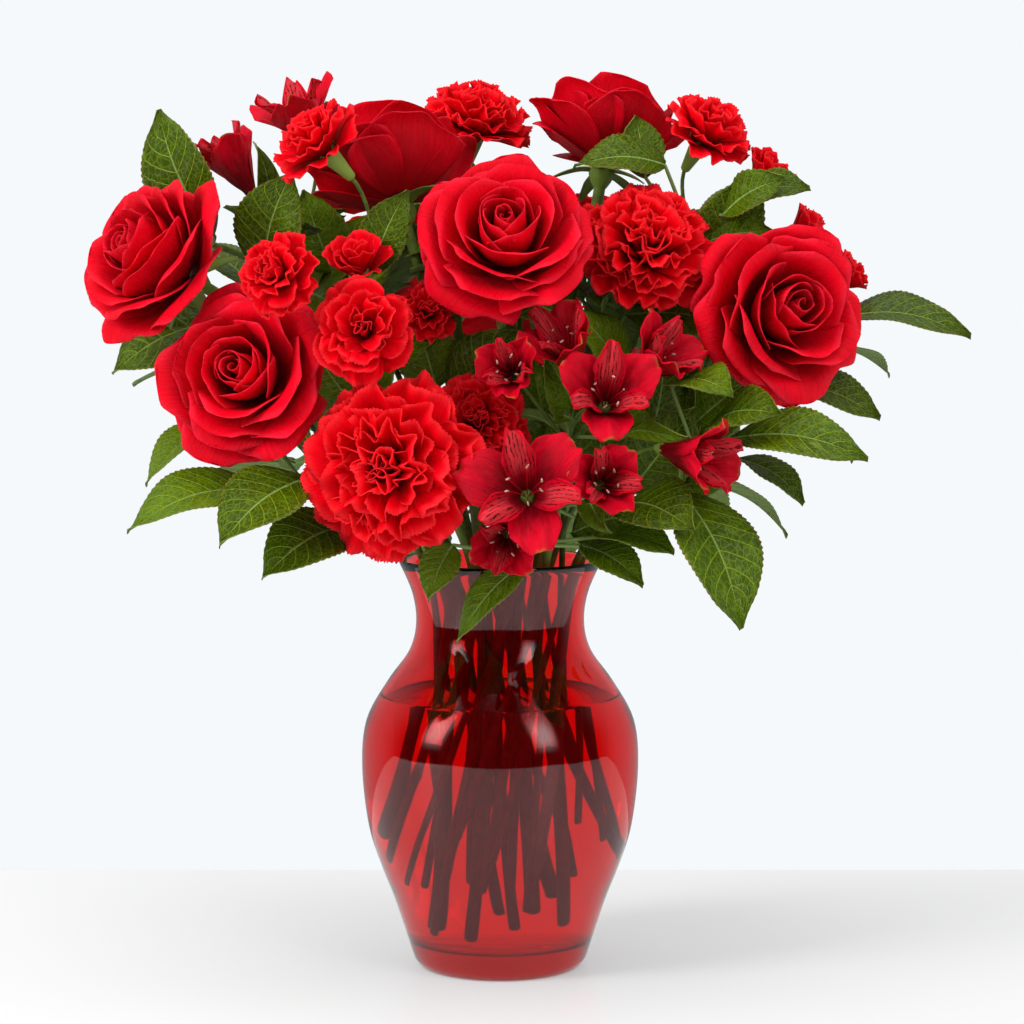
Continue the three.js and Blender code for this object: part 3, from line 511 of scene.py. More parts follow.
class BouquetColours(bpy.types.PropertyGroup):
    """The colours that a user would change."""

    rose: colour_setting("Rose", "Colour of the rose petals in full light", (0.84, 0.0005, 0.014))
    # Painted shade: rose petals are painted towards this colour low in the flower, near their base, and
    # for a head with a dark share. It is also their random darker tone.
    rose_shade_and_tone: colour_setting(
        "Rose depth", "Colour low in the rose, near the base of the petals", (0.32, 0.0, 0.004)
    )
    carnation: colour_setting("Carnation", "Colour of the carnation petals", (0.94, 0.0, 0.009))
    # Painted shade: carnation petals are painted towards this colour low in the flower, near their base.
    # It is also their random darker tone.
    carnation_shade_and_tone: colour_setting(
        "Carnation depth", "Colour low in the carnation", (0.48, 0.0, 0.003)
    )
    alstroemeria: colour_setting(
        "Alstroemeria", "Colour of the alstroemeria petals", (0.53, 0.0, 0.012)
    )
    alstroemeria_streak: colour_setting(
        "Alstroemeria streak", "Colour of the streaks on the inner petals", (0.05, 0.0, 0.003)
    )
    leaf: colour_setting("Leaf", "Colour of the upper side of the salal leaves", (0.056, 0.105, 0.0))
    leaf_vein: colour_setting(
        "Leaf vein", "Colour of the veins of the salal leaves", (0.24, 0.34, 0.01)
    )
    leaf_under: colour_setting(
        "Leaf underside", "Colour of the underside of the salal leaves", (0.15, 0.24, 0.05)
    )
    stem: colour_setting("Stem", "Colour of the stems", (0.10, 0.17, 0.02))
    calyx: colour_setting("Calyx", "Colour of the calyces under the carnations", (0.22, 0.33, 0.05))
    glass: colour_setting(
        "Glass", "Colour of the light that the vase lets through", (0.83, 0.08, 0.09)
    )
    table: colour_setting("Table", "Colour of the table", (0.50, 0.50, 0.50))


class BouquetSizes(bpy.types.PropertyGroup):
    """The sizes that a user would change."""

    petal: length_setting("Petal", "Thickness of a petal", 0.35, 0.1, 1)
    leaf: length_setting("Leaf", "Thickness of a leaf", 0.5, 0.2, 1)
    ruffle: length_setting("Ruffle", "Height of the waves along a carnation petal's rim", 3.8, 0, 6)
    tooth: length_setting("Tooth", "Length of the teeth along a carnation petal's rim", 1.3, 0, 3)
    thorn: length_setting("Thorn", "Length of a thorn on a rose stem", 4, 1, 7)


# ------------------------------------------------------------------------ shader nodes


class Wire:
    """An output of a shader node. An expression on it adds the Math nodes that work it out."""

    def __init__(self, tree, socket):
        self.tree = tree
        self.socket = socket

    def math(self, operation, *values):
        return self.tree.out("ShaderNodeMath", {"operation": operation}, dict(enumerate(values)))

    def __add__(self, other):
        return self.math("ADD", self, other)

    def __sub__(self, other):
        return self.math("SUBTRACT", self, other)

    def __rsub__(self, other):
        return self.math("SUBTRACT", other, self)

    def __mul__(self, other):
        return self.math("MULTIPLY", self, other)

    __radd__ = __add__
    __rmul__ = __mul__

    def wave(self):
        return self.math("SINE", self)

    def size(self):
        return self.math("ABSOLUTE", self)

    def fraction(self):
        return self.math("FRACT", self)

    def most(self, other):
        return self.math("MAXIMUM", self, other)

    def between(self, low, high):
        """0 at low, 1 at high, and smooth in between."""
        return self.tree.out(
            "ShaderNodeMapRange",
            {"interpolation_type": "SMOOTHSTEP"},
            {"Value": self, "From Min": low, "From Max": high},
        )


class Tree:
    """The shader nodes of a material or of the world."""

    def __init__(self, owner):
        owner.use_nodes = True
        self.nodes = owner.node_tree.nodes
        self.links = owner.node_tree.links

    def add(self, kind, settings=None, sockets=None):
        """A node of that type: its settings first, then the values or wires of its sockets."""
        node = self.nodes.new(kind)
        for name, value in (settings or {}).items():
            setattr(node, name, value)
        for name, value in (sockets or {}).items():
            self.feed(node.inputs[name], value)
        return node

    def out(self, kind, settings=None, sockets=None, output=0):
        return Wire(self, self.add(kind, settings, sockets).outputs[output])

    def feed(self, socket, value):
        if isinstance(value, Wire):
            self.links.new(value.socket, socket)
        else:
            socket.default_value = value

    def mix(self, share, first, second):
        """first where share is 0 and second where it is 1, as colours."""
        node = self.add("ShaderNodeMix", {"data_type": "RGBA"})
        factor, *colours = [socket for socket in node.inputs if socket.enabled]
        self.feed(factor, share)
        for socket, colour in zip(colours, (first, second)):
            self.feed(socket, rgba(colour))
        return Wire(self, next(socket for socket in node.outputs if socket.enabled))


class Finish(Tree):
    """A material made of nodes around one Principled BSDF."""

    def __init__(self, name, **constants):
        self.material = bpy.data.materials.new(name)
        super().__init__(self.material)
        self.surface = self.nodes["Principled BSDF"]
        for socket, value in constants.items():
            self.surface.inputs[socket.replace("_", " ")].default_value = value

    def set(self, **inputs):
        for name, value in inputs.items():
            self.feed(self.surface.inputs[name.replace("_", " ")], value)

    def place(self):
        """Along, across and tint of the point, and which side of its sheet it is on."""
        attribute = self.add("ShaderNodeAttribute", {"attribute_name": "place"})
        split = self.add("ShaderNodeSeparateXYZ", {}, {0: Wire(self, attribute.outputs["Vector"])})
        side = self.add("ShaderNodeAttribute", {"attribute_name": "side"})
        return [Wire(self, split.outputs[i]) for i in range(3)] + [Wire(self, side.outputs["Fac"])]

    def noise(self, scale, detail, stretch=None):
        """Noise in the object's own space, with spots about 1/scale metres across."""
        where = self.out("ShaderNodeTexCoord", {}, {}, "Object")
        if stretch:
            where = self.out("ShaderNodeVectorMath", {"operation": "MULTIPLY"}, {0: where, 1: stretch})
        return self.noise_at(where, scale, detail)

    def noise_along(self, along, across, tint, scale, detail):
        """Noise in the sheet's own coordinates, another one for each tint."""
        where = self.out("ShaderNodeCombineXYZ", {}, {0: along, 1: across, 2: tint * 40})
        return self.noise_at(where, scale, detail)

    def noise_at(self, where, scale, detail):
        sockets = {"Vector": where, "Scale": scale, "Detail": detail}
        return self.out("ShaderNodeTexNoise", {}, sockets, "Fac")

    def bump(self, height, distance, strength=1.0):
        normal = self.out(
            "ShaderNodeBump", {}, {"Height": height, "Distance": distance, "Strength": strength}
        )
        self.set(Normal=normal)


def rgba(colour):
    """The colour with an alpha of 1. A wire stays as it is."""
    return colour if isinstance(colour, Wire) else (*tuple(colour)[:3], 1.0)


def shade(colour, share):
    return tuple(channel * share for channel in tuple(colour)[:3])


# ------------------------------------------------------------------------ finishes


def petal_finish(name, shade_and_tone, bright, rim, **constants):
    """Velvety petal with fine veins. Painted shade makes it darker low down, near its base, and bright
    above; a painted highlight makes its rim a little lighter.
    """
    finish = Finish(
        name,
        Sheen_Weight=0.05,
        Sheen_Roughness=0.4,
        Sheen_Tint=rgba(SHEEN_RED),
        Subsurface_Weight=0.2,
        Subsurface_Radius=(1.0, 0.06, 0.05),
        Subsurface_Scale=0.002,
        **constants,
    )
    along, across, tint, _ = finish.place()
    mottle = finish.noise_along(along * 3, across * 2, tint, 2.2, 4)
    fine = finish.noise_along(along * 1.5, across * 34, tint, 1.6, 2)
    height = along + (mottle - 0.5) * 0.35
    # Painted shade: the petal is painted darker towards its base, where it lies low in the flower.
    body = finish.mix(height.between(0.15, 0.85), shade_and_tone, bright)
    # Painted highlight: the rim is painted a little lighter.
    edged = finish.mix((along + (fine - 0.5) * 0.07).between(0.84, 0.99) * 0.6, body, rim)
    # Each petal takes some of the shade colour by its tint. That is random tone, and for a rose with a
    # dark share also painted shade.
    toned = finish.mix((tint * 0.4 + fine.between(0.4, 0.75) * 0.36), edged, shade_and_tone)
    finish.set(Base_Color=toned, Roughness=0.44 + mottle * 0.22)
    finish.bump(fine * 0.8 + mottle * 1.6, 0.4 * MM)
    return finish.material


def rose_finish(colours):
    return petal_finish(
        "rose_velvet", colours.rose_shade_and_tone, colours.rose, ROSE_RIM_HIGHLIGHT, Specular_IOR_Level=0.11
    )


def carnation_finish(colours):
    return petal_finish(
        "carnation_crepe", colours.carnation_shade_and_tone, colours.carnation, CARNATION_RIM_HIGHLIGHT,
        Specular_IOR_Level=0.05,
    )


def alstroemeria_finish(colours):
    """Satin petal with dark streaks on the upper part of the three narrow inner petals."""
    finish = Finish(
        "alstroemeria_satin",
        Subsurface_Weight=0.18,
        Subsurface_Radius=(1.0, 0.06, 0.06),
        Subsurface_Scale=0.002,
        Specular_IOR_Level=0.14,
    )
    along, across, tint, _ = finish.place()
    grain = finish.noise_along(along * 2, across * 30, tint, 1.6, 2)
    broad = finish.noise_along(along * 3, across * 2, tint, 2, 3)
    inner = tint.between(0.45, 0.55)
    # Painted shade: the petal is painted darker towards its base, low in the flower's funnel.
    body = finish.mix(
        (along + (broad - 0.5) * 0.7).between(0.15, 0.85),
        shade(colours.alstroemeria, 0.3),
        colours.alstroemeria,
    )
    grained = finish.mix(grain.between(0.4, 0.8) * 0.35, body, ALSTROEMERIA_GRAIN)
    middle = 1 - across.size().between(0.25, 0.85)
    zone = along.between(0.3, 0.5) * (1 - along.between(0.86, 0.95)) * inner
    ground = finish.mix(zone * middle * 0.4, grained, ALSTROEMERIA_GROUND)
    pattern = (across * 27 + (broad - 0.5) * 9).wave().between(0.3, 0.75)
    dashes = finish.noise_along(along * 9, across * 8, tint, 2.1, 1).between(0.44, 0.5)
    streaked = finish.mix(pattern * dashes * zone * 0.9, ground, colours.alstroemeria_streak)
    tip = along.between(0.9, 1.0) * (1 - inner) * (1 - across.size().between(0.04, 0.26))
    finish.set(
        Base_Color=finish.mix(tip * 0.75, streaked, ALSTROEMERIA_TIP),
        Roughness=0.34 + grain * 0.2,
    )
    finish.bump(grain + broad * 1.6, 0.4 * MM)
    return finish.material


def leaf_finish(colours):
    """Leathery leaf: a pale midrib, side veins that curve to the tip, and a fine net between."""
    finish = Finish("salal_leaf", Specular_IOR_Level=0.28)
    along, across, tint, side = finish.place()
    reach = across.size()
    broad = finish.noise_along(along * 3, across * 1.5, tint, 1.4, 3)
    cells = finish.out("ShaderNodeCombineXYZ", {}, {0: along * 17, 1: across * 6.5, 2: tint * 30})
    net = finish.out(
        "ShaderNodeTexVoronoi",
        {"feature": "DISTANCE_TO_EDGE"},
        {"Vector": cells, "Scale": 1.0},
        "Distance",
    )
    rib = 1 - reach.between(0.0, 0.055)
    slanted = along * SIDE_VEINS - reach * VEIN_SLANT - reach * reach * 0.5
    ladder = (slanted + tint * 0.7 + (broad - 0.5) * 0.12).fraction()
    side_vein = (1 - (ladder - 0.5).size().between(0.0, 0.09)) * (1 - reach.between(0.8, 1.0) * 0.7)
    threads = 1 - net.between(0.0, 0.1)
    vein = rib.most(side_vein * 0.85)
    upper = finish.mix(
        (broad + (tint - 0.5) * 0.8).between(0.2, 0.8), shade(colours.leaf, 0.6), shade(colours.leaf, 1.25)
    )
    fresh = finish.mix((tint * 1.2 - 0.35).between(0.4, 0.8) * 0.55, upper, YOUNG_LEAF)
    edged = finish.mix(reach.between(0.92, 1.0) * 0.5, fresh, LEAF_EDGE)
    veined = finish.mix((vein * 0.85).most(threads * 0.24), edged, colours.leaf_vein)
    under = finish.mix(vein * 0.5 + threads * 0.15, colours.leaf_under, LEAF_UNDER_VEIN)
    finish.set(
        Base_Color=finish.mix(side.between(0.4, 0.6), under, veined),
        Roughness=0.25 + broad * 0.14 + (1 - side) * 0.3,
    )
    pillow = (ladder - 0.5).size() * -0.8 + reach * 0.2
    finish.bump(vein * -0.7 + net.between(0.0, 0.45) * 0.34 + pillow + broad * 0.8, 0.9 * MM)
    return finish.material


def stem_finish(colours):
    """Green skin with faint length-wise lines. A tint over a third is a calyx's or a sepal's."""
    finish = Finish("stem_skin", Specular_IOR_Level=0.4)
    along, across, tint, _ = finish.place()
    lines = finish.noise_along(along * 2, across * 12, tint, 2.0, 3)
    spots = finish.noise(260, 3)
    grain = (lines * 0.5 + spots * 0.5).between(0.3, 0.7)
    height = (along + (lines - 0.5) * 0.4).between(0.1, 0.95)
    bark = finish.mix(grain, shade(colours.stem, 0.55), shade(colours.stem, 1.3))
    husk = finish.mix(height, colours.calyx, shade(colours.calyx, 0.6))
    green = finish.mix(tint.between(0.3, 0.4), bark, husk)
    finish.set(Base_Color=green, Roughness=0.42 + lines * 0.2)
    finish.bump(lines + spots * 0.5, 0.25 * MM)
    return finish.material


def anther_finish():
    """Dull, powdery anthers in two browns."""
    finish = Finish("anther", Specular_IOR_Level=0.3)
    spots = finish.noise(900, 2)
    finish.set(
        Base_Color=finish.mix(spots.between(0.35, 0.65), DARK_POLLEN, PALE_POLLEN),
        Roughness=0.7 + spots * 0.2,
    )
    finish.bump(spots, 0.2 * MM)
    return finish.material


def glass_finish(colours):
    """Clear coloured glass with a very faint waviness from its making."""
    finish = Finish(
        "red_glass",
        Base_Color=rgba(colours.glass),
        Transmission_Weight=1.0,
        IOR=1.5,
        Roughness=0.0,
        Specular_IOR_Level=0.3,
    )
    finish.bump(finish.noise(9, 2, (1.0, 1.0, 0.35)), 0.3 * MM, 0.35)
    depth = {"Color": rgba(GLASS_DEPTH), "Density": GLASS_DENSITY}
    inside = finish.out("ShaderNodeVolumeAbsorption", {}, depth, "Volume")
    finish.feed(finish.nodes["Material Output"].inputs["Volume"], inside)
    return finish.material


def water_finish():
    """Clear water with a very faint waviness at its surface."""
    finish = Finish(
        "water",
        Base_Color=rgba(WATER),
        Transmission_Weight=1.0,
        IOR=1.333,
        Roughness=0.0,
    )
    finish.bump(finish.noise(30, 1), 0.05 * MM, 0.2)
    return finish.material


def table_finish(colours):
    """A satin table top, a little cloudy, with a faint glow that keeps its shadows pale."""
    finish = Finish("table_top", Specular_IOR_Level=0.4, Emission_Strength=TABLE_GLOW)
    cloud = finish.noise(3, 3)
    finish.set(
        Base_Color=finish.mix(cloud, shade(colours.table, 0.98), shade(colours.table, 1.02)),
        Roughness=0.34 + cloud * 0.08,
    )
    return finish.material


# ------------------------------------------------------------------------ geometry helpers


def vector(place):
    return np.array(place, float)


def unit(v):
    return v / np.linalg.norm(v)


def direction(face):
    """The unit vector of an (azimuth, elevation) in degrees."""
    azimuth, elevation = map(math.radians, face)
    level = math.cos(elevation)
    return vector((math.sin(azimuth) * level, -math.cos(azimuth) * level, math.sin(elevation)))


def placing(at, face, spin=0, **_):
    """The frame of a flower: its base at the origin and its face along +Z, turned by spin."""
    turn = Vector((0, 0, 1)).rotation_difference(Vector(direction(face)))
    about = Quaternion((0, 0, 1), math.radians(spin))
    return Matrix.Translation(at) @ (turn @ about).to_matrix().to_4x4()


def smoothstep(low, high, value):
    share = np.clip((value - low) / (high - low), 0, 1)
    return share * share * (3 - 2 * share)


def draws(*parts):
    """A random source of its own for a named piece, so that one piece never changes another."""
    text = "_".join(map(str, parts))
    return np.random.default_rng([SEED, *text.encode()])


class Skin:
    """Grids of points gathered into one mesh. Each point keeps its place along and across its
    own sheet or tube, a tint, and which side of a sheet it is on: 1 above, 0 below."""

    def __init__(self):
        self.points = []
        self.places = []
        self.sides = []
        self.faces = []
        self.count = 0

    def grid(self, points, places, side=1.0, flip=False, ring=False):
        """Adds rows by columns of points and the quads between them, and gives back the indices.
        A ring also joins the last column to the first."""
        rows, columns = points.shape[:2]
        index = self.count + np.arange(rows * columns).reshape(rows, columns)
        self.points.append(points.reshape(-1, 3))
        self.places.append(places.reshape(-1, 3))
        self.sides.append(np.full(rows * columns, side))
        self.count += rows * columns
        around = np.concatenate([index, index[:, :1]], axis=1) if ring else index
        self.quads(around[:-1, :-1], around[:-1, 1:], around[1:, 1:], around[1:, :-1], flip)
        return index

    def quads(self, a, b, c, d, flip=False):
        quads = np.stack([a, b, c, d], axis=-1).reshape(-1, 4)
        self.faces.append(quads[:, ::-1] if flip else quads)

    def sheet(self, points, thickness, tint):
        """A closed sheet through points, rows along it by columns across it."""
        along = np.gradient(points, axis=0)
        across = np.gradient(points, axis=1)
        normal = np.cross(across, along)
        normal /= np.maximum(np.linalg.norm(normal, axis=2, keepdims=True), 1e-9)
        places = places_of(points, tint)
        above = self.grid(points + normal * thickness / 2, places, 1.0)
        below = self.grid(points - normal * thickness / 2, places, 0.0, flip=True)
        top, bottom = rim_of(above), rim_of(below)
        self.quads(top, bottom, np.roll(bottom, -1), np.roll(top, -1))

    def tube(self, path, radii, sides, tint, slant=0.0):
        """A tube of round section along path, with closed ends. slant cuts the first end askew."""
        path = np.asarray(path, float)
        radii = np.broadcast_to(radii, len(path))
        tangent = np.gradient(path, axis=0)
        tangent /= np.linalg.norm(tangent, axis=1, keepdims=True)
        first = np.cross(tangent[0], (0, 0, 1) if abs(tangent[0][2]) < 0.9 else (1, 0, 0))
        frames = [unit(first)]
        for step in tangent[1:]:
            frames.append(unit(frames[-1] - step * frames[-1].dot(step)))
        across = np.array(frames)
        up = np.cross(tangent, across)
        turn = np.linspace(0, 2 * math.pi, sides, endpoint=False)[None, :, None]
        ring = np.cos(turn) * across[:, None] + np.sin(turn) * up[:, None]
        points = path[:, None] + ring * radii[:, None, None]
        points[0] += tangent[0] * radii[0] * slant * (1 + np.cos(turn[0]))
        self.turned(points, tint)

    def turned(self, points, tint):
        """A closed ring at each row of points, joined row to row, with a cap at both ends."""
        places = places_of(points, tint)
        index = self.grid(points, places, ring=True)
        self.cap(index[0], points[0], places[0], flip=True)
        self.cap(index[-1], points[-1], places[-1], flip=False)

    def cap(self, ring, points, places, flip):
        """A fan of triangles that closes a ring."""
        middle = self.count
        self.points.append(points.mean(axis=0)[None])
        self.places.append(places[:1])
        self.sides.append(np.ones(1))
        self.count += 1
        after = np.roll(ring, -1)
        fan = np.stack([ring, after, np.full(len(ring), middle)], axis=-1)
        self.faces.append(fan[:, ::-1] if flip else fan)

    def lathe(self, profile, sides, tint, wobble=None):
        """A body turned round +Z from (radius, height) points, closed at both ends."""
        profile = np.asarray(profile, float)
        turn = np.linspace(0, 2 * math.pi, sides, endpoint=False)[None, :]
        radius = profile[:, :1] * (wobble(turn, profile[:, 1:]) if wobble else 1)
        height = np.broadcast_to(profile[:, 1:], (len(profile), sides))
        radius = np.broadcast_to(radius, height.shape)
        points = np.stack([radius * np.cos(turn), radius * np.sin(turn), height], axis=-1)
        self.turned(points, tint)

    def move(self, matrix, since=0):
        """Moves what was added after the first since blocks of points."""
        turn = np.array(matrix.to_3x3())
        shift = np.array(matrix.translation)
        for i in range(since, len(self.points)):
            self.points[i] = self.points[i] @ turn.T + shift
        return self

    def mesh(self, name):
        """The mesh in metres, with its two attributes. Its quads are smooth and its caps flat."""
        points = np.concatenate(self.points) * MM
        totals = np.concatenate([np.full(len(faces), faces.shape[1]) for faces in self.faces])
        corners = np.concatenate([faces.reshape(-1) for faces in self.faces])
        mesh = bpy.data.meshes.new(name)
        mesh.vertices.add(len(points))
        mesh.vertices.foreach_set("co", points.reshape(-1))
        mesh.loops.add(len(corners))
        mesh.loops.foreach_set("vertex_index", corners)
        mesh.polygons.add(len(totals))
        mesh.polygons.foreach_set("loop_start", np.concatenate([[0], np.cumsum(totals)[:-1]]))
        mesh.polygons.foreach_set("loop_total", totals)
        mesh.polygons.foreach_set("use_smooth", totals == 4)
        mesh.update(calc_edges=True)
        place = mesh.attributes.new("place", "FLOAT_VECTOR", "POINT")
        place.data.foreach_set("vector", np.concatenate(self.places).reshape(-1))
        side = mesh.attributes.new("side", "FLOAT", "POINT")
        side.data.foreach_set("value", np.concatenate(self.sides))
        mesh.validate()
        return mesh


def places_of(points, tint):
    """Along, across and tint for each point of a grid: along from 0 to 1, across from -1 to 1."""
    rows, columns = points.shape[:2]
    places = np.empty(points.shape)
    places[..., 0] = np.linspace(0, 1, rows)[:, None]
    places[..., 1] = np.linspace(-1, 1, columns)[None, :]
    places[..., 2] = tint
    return places


def rim_of(index):
    """The border of a grid of indices, once round."""
    return np.concatenate([index[0, :-1], index[:-1, -1], index[-1, :0:-1], index[:0:-1, 0]])


def piece(name, skin, finish, slot, *nodes):
    """Makes the object of a skin: it rides on the body and stands for the frame's nodes."""
    made = bpy.data.objects.new(name, skin.mesh(name))
    made.data.materials.append(finish)
    bpy.context.scene.collection.objects.link(made)
    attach(made, "root")
    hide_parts(*nodes)


# ------------------------------------------------------------------------ petals


def middle_line(length, base, foot, lean, roll, roll_from):
    """The middle line of a petal in LINE_STEPS steps: the shares and leans at the middles of the
    steps, and the radii and heights at their ends."""
    share = (np.arange(LINE_STEPS) + 0.5) / LINE_STEPS
    angle = np.radians(
        lean[0] * (1 - share) ** 2 + 2 * lean[1] * share * (1 - share) + lean[2] * share**2
        + roll * smoothstep(roll_from, 1.0, share) ** 1.5
    )
    step = length / LINE_STEPS
    radius = base + np.concatenate([[0], np.cumsum(np.sin(angle))]) * step
    height = foot + np.concatenate([[0], np.cumsum(np.cos(angle))]) * step
    return share, angle, radius, height


def surface_lift(rng, across, level, skew, ruffle, waves, fold, side_roll, crease):
    """How far each point of a petal stands out of the petal's smooth form."""
    phase = rng.uniform(0, 2 * math.pi)
    second = rng.uniform(0, 2 * math.pi)
    reach = np.abs(across)
    edge = np.clip(level, 0, 1.2) ** 2.6
    swing = waves * math.pi * across
    wavy = np.sin(swing + phase) + 0.45 * np.sin(1.9 * swing + second)
    lift = skew * across * level + ruffle * edge * wavy - fold * reach * level
    lift = lift + side_roll * reach**3 * np.maximum(level, 0) ** 1.5
    broad_dents = np.sin(4.3 * across + second + 2 * level) * np.sin(6.1 * level + phase)
    small_dents = np.sin(9.1 * across - phase) * np.sin(9.7 * level + second)
    return lift + crease * (broad_dents + 0.5 * small_dents) * np.clip(level, 0, 1)


def petal(
    rng, rows, columns, length, base, foot, lean, width, wrap=1.0, skew=0.0, fall=0.2, rounding=3.0,
    claw=0.0, roll=0.0, roll_from=0.72, side_roll=0.0, ruffle=0.0, waves=3.0, teeth=0, tooth=0.0,
    fold=0.0, tip=0.0, crease=0.0,
):
    """The points of a petal that leans away from the flower's axis towards +X.

    Its middle line starts at radius base and height foot and leans by the three angles in turn.
    wrap flattens it across, claw is the share of its width at the foot, skew puts one edge outside
    its neighbour, fall rounds its top and tip draws it to a point, roll turns its rim back and
    side_roll its sides, ruffle waves its edge, which has that many teeth, fold bends it along the
    middle line, and crease dents its surface here and there."""
    # The rows lie a little closer together near the rim.
    along = np.linspace(0, 1, rows)[:, None] ** 0.92
    across = np.linspace(-1, 1, columns)[None, :]
    drop = fall * np.abs(across) ** rounding - tip * (1 - np.abs(across)) ** 2
    saw = np.abs(((across * teeth / 2 + rng.random()) % 1) * 2 - 1) if teeth else 0.0
    level = along * (1 - drop) - saw * (tooth / length) * along**5

    share, angle, radius, height = middle_line(length, base, foot, lean, roll, roll_from)
    knots = np.linspace(0, 1, LINE_STEPS + 1)
    radius = np.interp(level, knots, radius)
    height = np.interp(level, knots, height)
    angle = np.interp(level, share, angle)

    spread = claw + (1 - claw) * np.sin(np.minimum(level / 0.7, 1) * math.pi / 2)
    bend = wrap * np.maximum(radius, 2.0)
    turn = across * width * spread / bend
    lift = surface_lift(rng, across, level, skew, ruffle, waves, fold, side_roll, crease)
    x = radius - bend + bend * np.cos(turn)
    y = bend * np.sin(turn)
    out = [np.cos(angle) * np.cos(turn), np.cos(angle) * np.sin(turn), -np.sin(angle)]
    return np.stack([x, y, height], axis=-1) + np.stack(out, axis=-1) * lift[..., None]


def turned_by(points, degrees):
    """The points turned about the flower's axis."""
    cos, sin = math.cos(math.radians(degrees)), math.sin(math.radians(degrees))
    return points @ np.array([[cos, sin, 0], [-sin, cos, 0], [0, 0, 1]])


def varied(rng, shape, amount):
    """The shape with its length, width and lean a little changed."""
    made = dict(shape)
    made["length"] *= 1 + amount * 0.6 * rng.uniform(-1, 1)
    made["width"] *= 1 + amount * rng.uniform(-1, 1)
    shift = amount * 60 * rng.uniform(-1, 1)
    made["lean"] = tuple(angle + shift * share for angle, share in zip(made["lean"], (0.3, 0.7, 1.0)))
    return made


def scaled(shape, size):
    """The shape with its lengths times size and its angles as they are."""
    lengths = ("length", "base", "foot", "width", "skew")
    return {key: value * size if key in lengths else value for key, value in shape.items()}


def rose_head(name, rose, thickness):
    """Petals in a spiral: a tight bud in the middle, cups round it, and rims that roll back."""
    rng = draws(name)
    skin = Skin()
    opening = 0.55 + 0.45 * rose["open"]
    # dark is painted shade: it pushes every petal's tint, and so its colour, towards the shade colour.
    dark = rose.get("dark", 0)
    first = rng.uniform(0, 360)
    for layer, (count, shape) in enumerate(ROSE_LAYERS):
        outward = layer / (len(ROSE_LAYERS) - 1)
        first += 180 / count + 23
        for i in range(count):
            each = varied(rng, shape, 0.03 + 0.1 * outward)
            if layer >= FIRST_OPEN_LAYER:
                each["lean"] = tuple(angle * opening for angle in each["lean"])
            each["roll"] = each.get("roll", 0) * rng.uniform(0.6, 1.25)
            points = petal(
                rng, *ROSE_DETAIL, **scaled(each, rose["size"]), wrap=1 + 0.12 * outward,
                fall=0.1 + 0.2 * outward, rounding=2.6 - 0.4 * outward, claw=0.25,
                roll_from=rng.uniform(0.62, 0.78), side_roll=15 * outward**1.5 * rng.uniform(0.4, 1.2),
                ruffle=0.2 + 0.7 * outward, waves=rng.uniform(0.7, 1.4), crease=0.35 + 0.5 * outward,
                tip=(0.03 + 0.34 * outward) * rng.uniform(0.4, 1.3),
            )
            azimuth = first + 360 * i / count + rng.uniform(-14, 14) * outward
            tint = rng.random() * (1 - dark) + dark
            skin.sheet(turned_by(points, azimuth), thickness, tint)
    return skin.move(placing(**rose))


def ruffled_head(name, flower, layers, thickness, ruffle, tooth, detail):
    """Ruffled, toothed petals in layers, from nearly flat outside to upright in the middle."""
    rng = draws(name)
    skin = Skin()
    first = rng.uniform(0, 360)
    rows, columns, teeth = detail
    for layer, (count, shape) in enumerate(layers):
        first += 180 / count + 31
        inward = layer / (len(layers) - 1)
        for i in range(count):
            each = scaled(varied(rng, shape, 0.15), flower["size"])
            points = petal(
                rng, rows, columns, **each, wrap=1.3, skew=2.4 * rng.uniform(-1, 1), fall=0.16, claw=0.12,
                ruffle=ruffle * rng.uniform(0.7, 1.2) * (1 - 0.2 * inward), waves=rng.uniform(1.4, 2.5),
                teeth=teeth, tooth=tooth * rng.uniform(0.6, 1.2), fold=rng.uniform(-3, 3),
                roll=rng.uniform(-30, 40), roll_from=0.55,
            )
            azimuth = first + 360 * i / count + rng.uniform(-15, 15)
            skin.sheet(turned_by(points, azimuth), thickness, rng.random())
    return skin.move(placing(**flower))


def alstroemeria_head(name, flower, thickness):
    """Three broad outer petals and three narrow inner ones, whose tint is over a half."""
    rng = draws(name)
    skin = Skin()
    flare = 0.2 + 1.0 * flower["open"]
    for i in range(6):
        shape = varied(rng, ALSTROEMERIA_INNER if i % 2 else ALSTROEMERIA_OUTER, 0.06)
        shape["lean"] = tuple(angle * flare for angle in shape["lean"])
        points = petal(
            rng, *ALSTROEMERIA_DETAIL, **scaled(shape, flower["size"]), wrap=1.2, claw=0.2, rounding=2.0,
            ruffle=1.7, waves=2.2, fold=-1.2, crease=0.9, roll=rng.uniform(5, 60) * flower["open"],
        )
        tint = rng.uniform(0.6, 1.0) if i % 2 else rng.uniform(0.0, 0.4)
        skin.sheet(turned_by(points, 30 + 60 * i + rng.uniform(-4, 4)), thickness, tint)
    return skin.move(placing(**flower))


